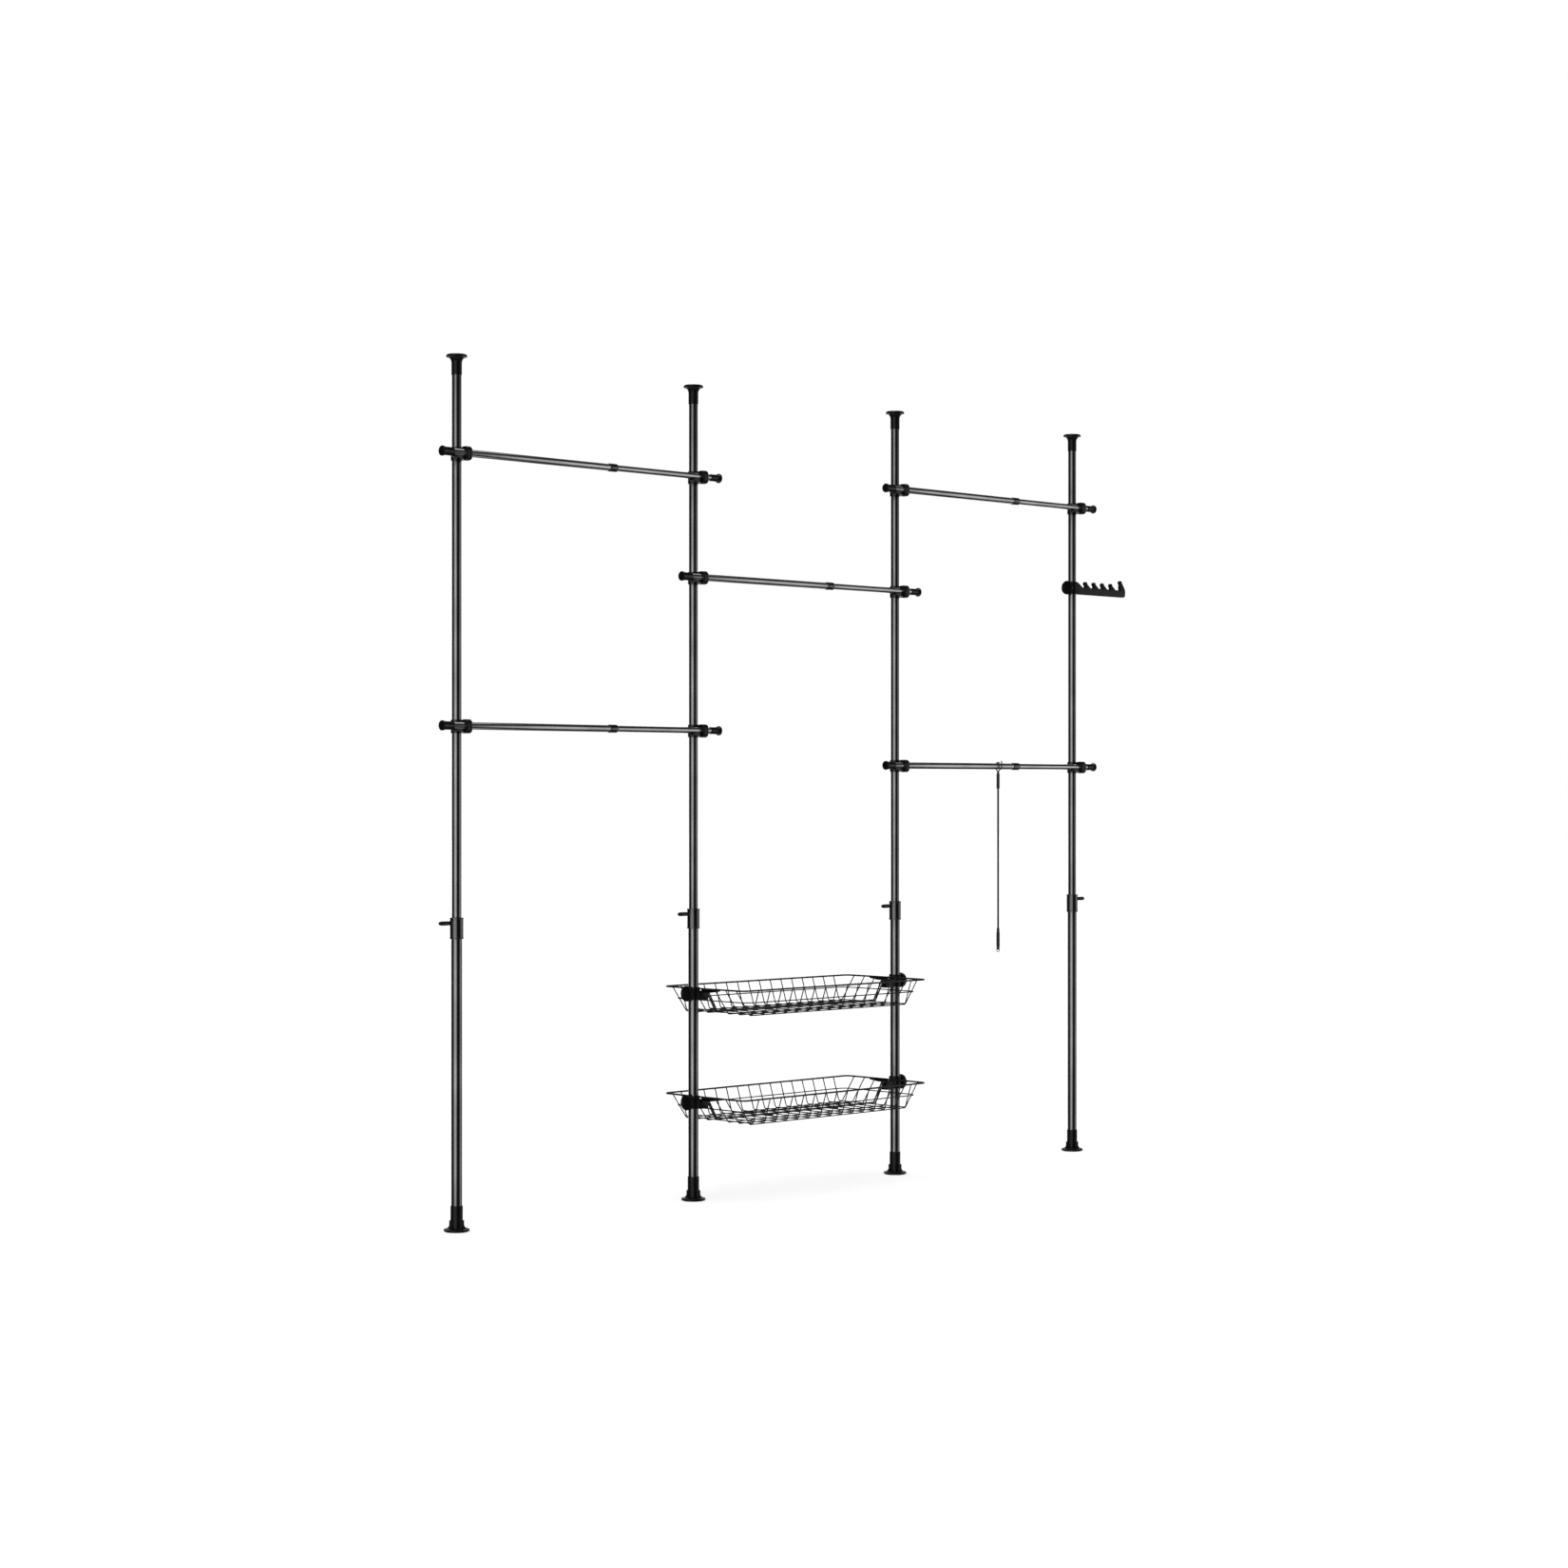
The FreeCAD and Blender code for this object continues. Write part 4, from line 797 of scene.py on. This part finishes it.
def add_knob(bm, radius, place):
    """Round knob with a dished face and its screw, along the local Z axis from the pole's axis."""
    start = radius + KNOB_STANDOFF + KNOB_GAP
    end = start + KNOB_THICKNESS
    screw_start = radius + KNOB_GAP
    lathe(bm, [(0, screw_start), (KNOB_SCREW_RADIUS, screw_start), (KNOB_SCREW_RADIUS, start)], place)
    lathe(bm, rounded([
        (0, start),
        (KNOB_RADIUS - KNOB_CHAMFER, start),
        (KNOB_RADIUS, start + KNOB_CHAMFER),
        (KNOB_RADIUS, end),
        (KNOB_DISH_RADIUS + KNOB_DISH_SLOPE, end),
        (KNOB_DISH_RADIUS, end - KNOB_DISH_DEPTH),
        (0, end - KNOB_DISH_DEPTH),
    ], KNOB_ROUNDING), place)


def hook_outline():
    """Outline of the rack's arm and hooks, as (x, z) points from the pole's axis and the arm's top."""
    outline = [(RACK_BORE, -RACK_ARM_HEIGHT)]
    outline += [tuple(p) for p in rounded([
        (RACK_ROOT, -RACK_ARM_HEIGHT),
        (RACK_REACH, -RACK_ARM_HEIGHT),
        (RACK_REACH, 0),
        END_SHOULDER,
    ], RACK_ARM_CORNER)]
    hooks = [(END_HOOK_PLACE, END_HOOK_HEIGHT)] + [(place, HOOK_HEIGHT) for place in reversed(HOOK_PLACES)]
    for i, (place, height) in enumerate(hooks):
        bulb = height - BULB_RADIUS
        if i:
            outline.append((place + HOOK_SLOPE, -VALLEY_DROP))
        for angle in range(0, BULB_TURN + 1, BULB_TURN_STEP):
            turn = math.radians(angle)
            outline.append((place + BULB_RADIUS * math.cos(turn), bulb + BULB_RADIUS * math.sin(turn)))
        outline += [tuple(p) for p in rounded([
            (place - NECK_OFFSET, bulb - BULB_RADIUS - NECK_DROP),
            (place - NECK_OFFSET, -VALLEY_DROP),
            (place - BULB_RADIUS - NECK_OFFSET, -VALLEY_DROP),
        ], VALLEY_ROUNDING)]
    outline += [
        (RACK_ROOT + HOOK_SLOPE, -VALLEY_DROP),
        (RACK_ROOT, RACK_ROOT_TOP),
        (RACK_BORE, RACK_ROOT_TOP),
    ]
    return outline


def add_hook_rack(bm, place):
    """Hook rack about the pole's axis, at the middle of its height."""
    lathe(bm, rounded([
        (RACK_BORE, -RACK_HEIGHT / 2),
        (RACK_RADIUS, -RACK_HEIGHT / 2),
        (RACK_RADIUS, RACK_HEIGHT / 2),
        (RACK_BORE, RACK_HEIGHT / 2),
        (RACK_BORE, -RACK_HEIGHT / 2),
    ], BAND_EDGE), place)
    lathe(bm, rounded([
        (KNOB_BOSS_RADIUS, RACK_BORE),
        (KNOB_BOSS_RADIUS, RACK_RADIUS + KNOB_STANDOFF),
        (KNOB_SCREW_RADIUS + KNOB_GAP, RACK_RADIUS + KNOB_STANDOFF),
        (KNOB_SCREW_RADIUS + KNOB_GAP, RACK_BORE),
    ], SMALL_EDGE), place @ ALONG_MINUS_X)
    arm = place @ at(z=RACK_ARM_HEIGHT - RACK_HEIGHT / 2)
    prism(bm, hook_outline(), -RACK_THICKNESS / 2, RACK_THICKNESS / 2, arm, RACK_BEVEL)


def add_reacher_wires(bm, place):
    """Hook over the rail, second prong in front and pull ring, about the rail's axis."""
    seat = FERRULE_TOP - FERRULE_WIRE_SEAT
    fork = FERRULE_TOP + REACHER_STEM
    over = []
    for step in range(REACHER_HOOK_STEPS + 1):
        angle = math.radians(step / REACHER_HOOK_STEPS * (90 + REACHER_HOOK_TURN))
        over.append((0, REACHER_REACH * math.cos(angle), REACHER_REACH * math.sin(angle)))
    back = rounded([
        (0, REACHER_WIRE_Y, seat),
        (0, REACHER_WIRE_Y, fork),
        (0, REACHER_REACH, REACHER_KNEE),
        (0, REACHER_REACH, 0),
    ], REACHER_BEND)
    prong = rounded([
        (0, -REACHER_WIRE_Y, seat),
        (0, -REACHER_WIRE_Y, fork),
        (0, REACHER_PRONG_Y, REACHER_KNEE),
        (0, REACHER_PRONG_Y, REACHER_PRONG_TOP),
    ], REACHER_BEND)
    hook = back[:-1] + [Vector(p) for p in over]
    sweep(bm, hook, REACHER_WIRE_RADIUS, place, sides=REACHER_WIRE_SIDES)
    sweep(bm, prong, REACHER_WIRE_RADIUS, place, sides=REACHER_WIRE_SIDES)
    ring = []
    for step in range(PULL_RING_STEPS):
        angle = 2 * math.pi * step / PULL_RING_STEPS
        aside = PULL_RING_RADIUS * math.cos(angle)
        rise = PULL_RING_RADIUS * math.sin(angle)
        ring.append((0, aside, PULL_RING_Z + rise))
    sweep(bm, ring, PULL_RING_WIRE, place, closed=True)


def add_reacher_grips(bm, place):
    """Ferrule under the hook and grip at the rod's lower end, about the rail's axis."""
    bottom = FERRULE_TOP - FERRULE_LENGTH
    lathe(bm, rounded([
        (0, FERRULE_TOP),
        (FERRULE_RADIUS, FERRULE_TOP),
        (FERRULE_RADIUS, bottom),
        (ROD_RADIUS, bottom),
    ], FERRULE_ROUNDING), place)
    lathe(bm, rounded([
        (ROD_RADIUS, GRIP_TOP),
        (ROD_RADIUS + GRIP_LIP, GRIP_TOP),
        (GRIP_RADIUS, GRIP_TOP - GRIP_TAPER),
        (GRIP_RADIUS, GRIP_BOTTOM + TANG_HEIGHT),
        (0, GRIP_BOTTOM + TANG_HEIGHT),
    ], GRIP_ROUNDING), place)
    tang_top = GRIP_BOTTOM + TANG_HEIGHT + TANG_SINK
    prism(bm, rounded([
        (-GRIP_RADIUS, tang_top),
        (-GRIP_RADIUS, GRIP_BOTTOM),
        (GRIP_RADIUS, GRIP_BOTTOM),
        (GRIP_RADIUS, tang_top),
    ], TANG_ROUNDING, closed=True), -TANG_HALF, TANG_HALF, place, TANG_BEVEL)


def grained(name, colour, roughness, grain, bump, metallic=0.0, specular=0.5, coat=0.0):
    """A procedural finish: a fine grain in colour, gloss and surface, whose size is in metres."""
    material = bpy.data.materials.new(name)
    material.use_nodes = True
    nodes = material.node_tree.nodes
    links = material.node_tree.links
    shader = nodes["Principled BSDF"]
    shader.inputs["Metallic"].default_value = metallic
    shader.inputs["Specular IOR Level"].default_value = specular
    shader.inputs["Coat Weight"].default_value = coat
    shader.inputs["Coat Roughness"].default_value = roughness
    place = nodes.new("ShaderNodeTexCoord")
    fine = nodes.new("ShaderNodeTexNoise")
    fine.inputs["Scale"].default_value = 1 / grain
    fine.inputs["Detail"].default_value = FINE_DETAIL
    broad = nodes.new("ShaderNodeTexNoise")
    broad.inputs["Scale"].default_value = BROAD_SCALE
    broad.inputs["Detail"].default_value = BROAD_DETAIL
    links.new(place.outputs["Object"], fine.inputs["Vector"])
    links.new(place.outputs["Object"], broad.inputs["Vector"])
    tint = nodes.new("ShaderNodeValToRGB")
    tint.color_ramp.elements[0].position = GRAIN_LOW
    tint.color_ramp.elements[1].position = GRAIN_HIGH
    tint.color_ramp.elements[0].color = [c * (1 - TINT_SPREAD) for c in colour] + [1]
    tint.color_ramp.elements[1].color = [c * (1 + TINT_SPREAD) for c in colour] + [1]
    links.new(broad.outputs["Fac"], tint.inputs["Fac"])
    links.new(tint.outputs["Color"], shader.inputs["Base Color"])
    gloss = nodes.new("ShaderNodeMapRange")
    gloss.inputs["From Min"].default_value = GRAIN_LOW
    gloss.inputs["From Max"].default_value = GRAIN_HIGH
    gloss.inputs["To Min"].default_value = roughness * (1 - GLOSS_SPREAD)
    gloss.inputs["To Max"].default_value = roughness * (1 + GLOSS_SPREAD)
    links.new(fine.outputs["Fac"], gloss.inputs["Value"])
    links.new(gloss.outputs["Result"], shader.inputs["Roughness"])
    relief = nodes.new("ShaderNodeBump")
    relief.inputs["Strength"].default_value = bump
    relief.inputs["Distance"].default_value = grain * RELIEF_SHARE
    links.new(fine.outputs["Fac"], relief.inputs["Height"])
    links.new(relief.outputs["Normal"], shader.inputs["Normal"])
    return material


def build_poles(finish):
    """Feet, caps, collars, screws and tubes of the four poles."""
    groups = {
        "pole_1": ([1], "left_lower", "left_upper", "foot", "ceiling_cap", "lock_collar"),
        "middle_poles": ([2, 3], "middle_lower", "middle_upper", "feet", "ceiling_caps", "lock_collars"),
        "pole_4": ([4], "right_lower", "right_upper", "foot", "ceiling_cap", "lock_collar"),
    }
    for owner, (poles, lower, upper, feet, caps, collars) in groups.items():
        foot_mesh, floor_pads, cap_mesh, ceiling_pads, collar_mesh = (bmesh.new() for _ in range(5))
        low, high = span(f"{owner}_{collars}")
        ceiling = span(f"{owner}_{caps}")[1].z
        for pole in poles:
            stand = at(x=middle(f"pole_{pole}_lower_tube").x)
            add_floor_foot(foot_mesh, stand)
            add_pad(floor_pads, FLOOR_PAD_RADIUS, stand)
            add_ceiling_cap(cap_mesh, stand @ at(z=ceiling))
            add_pad(ceiling_pads, CEILING_PAD_RADIUS, stand @ at(z=ceiling - PAD_THICKNESS))
            facing = HALF_TURN if pole == 4 else Matrix.Identity(4)
            add_collar(collar_mesh, low.z, high.z, stand @ facing)
            screw = bmesh.new()
            add_lock_screw(screw, stand @ facing @ at(z=low.z + LOCK_HEIGHT) @ ALONG_MINUS_X)
            node = f"pole_{pole}_lock_screw"
            piece(f"{node}_look", screw, finish["gloss_plastic"], f"pole_{pole}_lock", node)
            for part, body in (("lower_tube", lower), ("upper_tube", upper)):
                node = f"pole_{pole}_{part}"
                tube = bmesh.new()
                bottom, top = span(node)
                radius = (top.x - bottom.x) / 2
                add_tube(tube, radius, POLE_WALL, top.z - bottom.z, stand @ at(z=bottom.z))
                piece(f"{node}_look", tube, finish["pole"], body, node)
        piece(f"{owner}_{feet}_look", foot_mesh, finish["plastic"], lower, f"{owner}_{feet}")
        piece(f"{owner}_floor_pads_look", floor_pads, finish["rubber"], lower)
        piece(f"{owner}_{caps}_look", cap_mesh, finish["plastic"], upper, f"{owner}_{caps}")
        piece(f"{owner}_ceiling_pads_look", ceiling_pads, finish["rubber"], upper)
        piece(f"{owner}_{collars}_look", collar_mesh, finish["collar_plastic"], lower, f"{owner}_{collars}")


def build_rails(finish):
    """Tubes, rings, caps and clamps of the five rails."""
    left_poles = {1: 1, 2: 1, 3: 2, 4: 3, 5: 3}
    for rail, left_pole in left_poles.items():
        left_body = "rail_3" if rail == 3 else f"rail_{rail}_left"
        right_body = "rail_3" if rail == 3 else f"rail_{rail}_right"
        axis = middle(f"rail_{rail}_outer_tube")
        left = middle(f"pole_{left_pole}_lower_tube").x
        right = middle(f"pole_{left_pole + 1}_lower_tube").x
        on_axis = at(y=axis.y, z=axis.z)
        tubes = (("outer_tube", left_body, RAIL_RADIUS), ("inner_tube", right_body, INNER_RAIL_RADIUS))
        for part, body, radius in tubes:
            node = f"rail_{rail}_{part}"
            start, end = span(node)
            tube = bmesh.new()
            add_tube(tube, radius, RAIL_WALL, end.x - start.x, on_axis @ at(x=start.x) @ ALONG_X)
            piece(f"{node}_look", tube, finish["rail"], body, node)
        fittings = bmesh.new()
        add_cross_clamp(fittings, axis.y, RAIL_RADIUS, at(x=left, z=axis.z))
        add_end_cap(fittings, RAIL_RADIUS, on_axis @ at(x=left - RAIL_OVERHANG) @ ALONG_X)
        add_slide_ring(fittings, on_axis @ at(x=left + RING_PLACE - RING_LENGTH / 2) @ ALONG_X)
        node = f"rail_{rail}_left_fittings"
        piece(f"{node}_look", fittings, finish["gloss_plastic"], left_body, node,
              second=finish["collar_plastic"])
        fittings = bmesh.new()
        add_cross_clamp(fittings, axis.y, INNER_RAIL_RADIUS, at(x=right, z=axis.z))
        add_end_cap(fittings, INNER_RAIL_RADIUS, on_axis @ at(x=right + RAIL_OVERHANG) @ ALONG_MINUS_X)
        node = f"rail_{rail}_right_fittings"
        piece(f"{node}_look", fittings, finish["gloss_plastic"], right_body, node)


def build_baskets(finish):
    """Rims, wires, brackets and knobs of the two baskets."""
    left = middle("pole_2_lower_tube").x
    right = middle("pole_3_lower_tube").x
    for name in ("upper", "lower"):
        body = f"{name}_basket"
        low, high = span(f"{body}_rim")
        rim_z = middle(f"{body}_left_knob").z + KNOB_DROP
        half_length = (high.x - low.x) / 2 - RIM_RADIUS
        half_width = (high.y - low.y) / 2 - RIM_RADIUS
        place = at(x=(left + right) / 2, z=rim_z)
        rim = bmesh.new()
        add_basket_rim(rim, half_length, half_width, (right - left) / 2 - ROD_END_FROM_POLE, place)
        piece(f"{body}_rim_look", rim, finish["wire"], body, f"{body}_rim")
        wires = bmesh.new()
        add_basket_wires(wires, half_length, half_width, place)
        piece(f"{body}_wires_look", wires, finish["wire"], body, f"{body}_wires")
        brackets = bmesh.new()
        add_bracket(brackets, at(x=left, z=rim_z))
        add_bracket(brackets, at(x=right, z=rim_z) @ HALF_TURN)
        piece(f"{body}_brackets_look", brackets, finish["plastic"], body, f"{body}_brackets")
        for side, x, facing in (("left", left, ALONG_MINUS_X), ("right", right, ALONG_X)):
            node = f"{body}_{side}_knob"
            knob = bmesh.new()
            add_knob(knob, BRACKET_RADIUS, at(x=x, z=rim_z - KNOB_DROP) @ facing)
            piece(f"{node}_look", knob, finish["plastic"], node, node)


def build_accessories(finish):
    """Hook rack with its knob, and the reacher rod."""
    pole = middle("pole_4_upper_tube").x
    rack_z = middle("hook_rack_knob").z
    rack = bmesh.new()
    add_hook_rack(rack, at(x=pole, z=rack_z))
    piece("hook_rack_look", rack, finish["plastic"], "hook_rack", "hook_rack")
    knob = bmesh.new()
    add_knob(knob, RACK_RADIUS, at(x=pole, z=rack_z) @ ALONG_MINUS_X)
    piece("hook_rack_knob_look", knob, finish["plastic"], "hook_rack_knob", "hook_rack_knob")
    axis = middle("rail_5_outer_tube")
    place = at(x=middle("reacher_rod").x, y=axis.y, z=axis.z)
    wires = bmesh.new()
    add_reacher_wires(wires, place)
    piece("reacher_wires_look", wires, finish["plated"], "reacher", "reacher_wires")
    rod = bmesh.new()
    profile = [(0, ROD_BOTTOM), (ROD_RADIUS, ROD_BOTTOM), (ROD_RADIUS, ROD_TOP), (0, ROD_TOP)]
    lathe(rod, profile, place, sides=ROD_SIDES)
    piece("reacher_rod_look", rod, finish["wire"], "reacher", "reacher_rod")
    grips = bmesh.new()
    add_reacher_grips(grips, place)
    piece("reacher_grips_look", grips, finish["gloss_plastic"], "reacher", "reacher_grips")


def soft_glow(tree, heading, inner, outer, tallness, strength):
    """A patch of light in the surroundings, full within one angle and gone beyond another."""
    flatten = Vector((1, 1, 1 / tallness))
    look = tree.nodes.new("ShaderNodeTexCoord")
    squeezed = vector_maths(tree, "MULTIPLY", look.outputs["Generated"], flatten)
    level = vector_maths(tree, "NORMALIZE", squeezed.outputs["Vector"])
    aim = (Vector(heading) * flatten).normalized()
    toward = vector_maths(tree, "DOT_PRODUCT", level.outputs["Vector"], aim)
    patch = tree.nodes.new("ShaderNodeMapRange")
    patch.interpolation_type = "SMOOTHSTEP"
    patch.inputs["From Min"].default_value = math.cos(math.radians(outer))
    patch.inputs["From Max"].default_value = math.cos(math.radians(inner))
    patch.inputs["To Max"].default_value = strength
    tree.links.new(toward.outputs["Value"], patch.inputs["Value"])
    return patch.outputs["Result"]


def vector_maths(tree, operation, socket, vector=(0, 0, 0)):
    """A product or the like of a socket and a vector."""
    node = tree.nodes.new("ShaderNodeVectorMath")
    node.operation = operation
    node.inputs[1].default_value = vector
    tree.links.new(socket, node.inputs[0])
    return node


def maths(tree, operation, *values):
    """A sum or the like of sockets and numbers."""
    node = tree.nodes.new("ShaderNodeMath")
    node.operation = operation
    for socket, value in zip(node.inputs, values):
        if isinstance(value, bpy.types.NodeSocket):
            tree.links.new(value, socket)
        else:
            socket.default_value = value
    return node.outputs[0]


def build_surroundings():
    """Soft patches of studio light, and a white backdrop that the camera and shiny surfaces see."""
    world = bpy.data.worlds.new("studio")
    bpy.context.scene.world = world
    world.use_nodes = True
    tree = world.node_tree
    studio = tree.nodes["Background"]
    studio.inputs["Color"].default_value = (1, 1, 1, 1)
    light = AMBIENT
    for glow in GLOWS:
        light = maths(tree, "ADD", soft_glow(tree, *glow), light)
    tree.links.new(light, studio.inputs["Strength"])
    white = tree.nodes.new("ShaderNodeBackground")
    white.inputs["Color"].default_value = (1, 1, 1, 1)
    path = tree.nodes.new("ShaderNodeLightPath")
    shiny = maths(tree, "MAXIMUM", path.outputs["Is Glossy Ray"], path.outputs["Is Transmission Ray"])
    seen = maths(tree, "MULTIPLY_ADD", shiny, soft_glow(tree, *BACKDROP), path.outputs["Is Camera Ray"])
    mix = tree.nodes.new("ShaderNodeMixShader")
    tree.links.new(seen, mix.inputs[0])
    tree.links.new(studio.outputs[0], mix.inputs[1])
    tree.links.new(white.outputs[0], mix.inputs[2])
    tree.links.new(mix.outputs[0], tree.nodes["World Output"].inputs["Surface"])


def build_floor():
    """Pale floor, white to the camera apart from the object's soft shadow."""
    bm = bmesh.new()
    bmesh.ops.create_grid(bm, x_segments=1, y_segments=1, size=FLOOR_HALF_SIZE)
    mesh = bpy.data.meshes.new("floor")
    bm.to_mesh(mesh)
    bm.free()
    floor = bpy.data.objects.new("floor", mesh)
    bpy.context.scene.collection.objects.link(floor)
    floor.visible_glossy = False
    pale = bpy.data.materials.new("pale_floor")
    pale.use_nodes = True
    tree = pale.node_tree
    tree.nodes.remove(tree.nodes["Principled BSDF"])
    surface = tree.nodes.new("ShaderNodeBsdfDiffuse")
    surface.inputs["Color"].default_value = (FLOOR_COLOUR, FLOOR_COLOUR, FLOOR_COLOUR, 1)
    white = tree.nodes.new("ShaderNodeEmission")
    path = tree.nodes.new("ShaderNodeLightPath")
    glow = maths(tree, "MULTIPLY", path.outputs["Is Camera Ray"], FLOOR_WHITE)
    tree.links.new(glow, white.inputs["Strength"])
    both = tree.nodes.new("ShaderNodeAddShader")
    tree.links.new(surface.outputs[0], both.inputs[0])
    tree.links.new(white.outputs[0], both.inputs[1])
    tree.links.new(both.outputs[0], tree.nodes["Material Output"].inputs["Surface"])
    mesh.materials.append(pale)


def build_camera():
    """The photograph's camera."""
    camera = bpy.data.cameras.new("camera")
    camera.sensor_width = SENSOR
    camera.lens = FOCAL_PIXELS / IMAGE_SIZE * SENSOR
    camera.shift_y = HORIZON_PIXELS_BELOW_MIDDLE / IMAGE_SIZE
    camera.clip_end = CAMERA_FAR
    eye = bpy.data.objects.new("camera", camera)
    eye.location = CAMERA_PLACE
    eye.rotation_euler = (math.radians(90), 0, math.radians(CAMERA_YAW))
    bpy.context.scene.collection.objects.link(eye)
    bpy.context.scene.camera = eye
    bpy.context.scene.view_settings.view_transform = "Standard"


finish = {
    "pole": grained("satin_pole_coat", (0.16, 0.16, 0.162),
                    roughness=0.24, grain=0.0006, bump=0.004, metallic=1.0),
    # The rail coat is the pole coat made lighter. This is a painted highlight that stands in for the
    # brighter side light along the rails.
    "rail": grained("rail_coat_with_painted_highlight", (0.4, 0.4, 0.404),
                    roughness=0.24, grain=0.0006, bump=0.004, metallic=1.0),
    "plastic": grained("moulded_plastic", BLACK,
                       roughness=0.34, grain=0.0009, bump=0.06, specular=0.14),
    "gloss_plastic": grained("gloss_plastic", BLACK,
                             roughness=0.26, grain=0.0012, bump=0.03, specular=0.3),
    "collar_plastic": grained("collar_plastic", BLACK,
                              roughness=0.12, grain=0.0012, bump=0.01, specular=0.7, coat=0.5),
    "wire": grained("wire_coat", (0.006, 0.006, 0.0062),
                    roughness=0.4, grain=0.0005, bump=0.05, specular=0.4),
    "plated": grained("plated_wire", (0.04, 0.04, 0.041),
                      roughness=0.3, grain=0.0004, bump=0.04, metallic=1.0),
    "rubber": grained("pad_rubber", (0.008, 0.008, 0.008),
                      roughness=0.8, grain=0.0015, bump=0.2, specular=0.2),
}
build_poles(finish)
build_rails(finish)
build_baskets(finish)
build_accessories(finish)
build_surroundings()
build_floor()
build_camera()
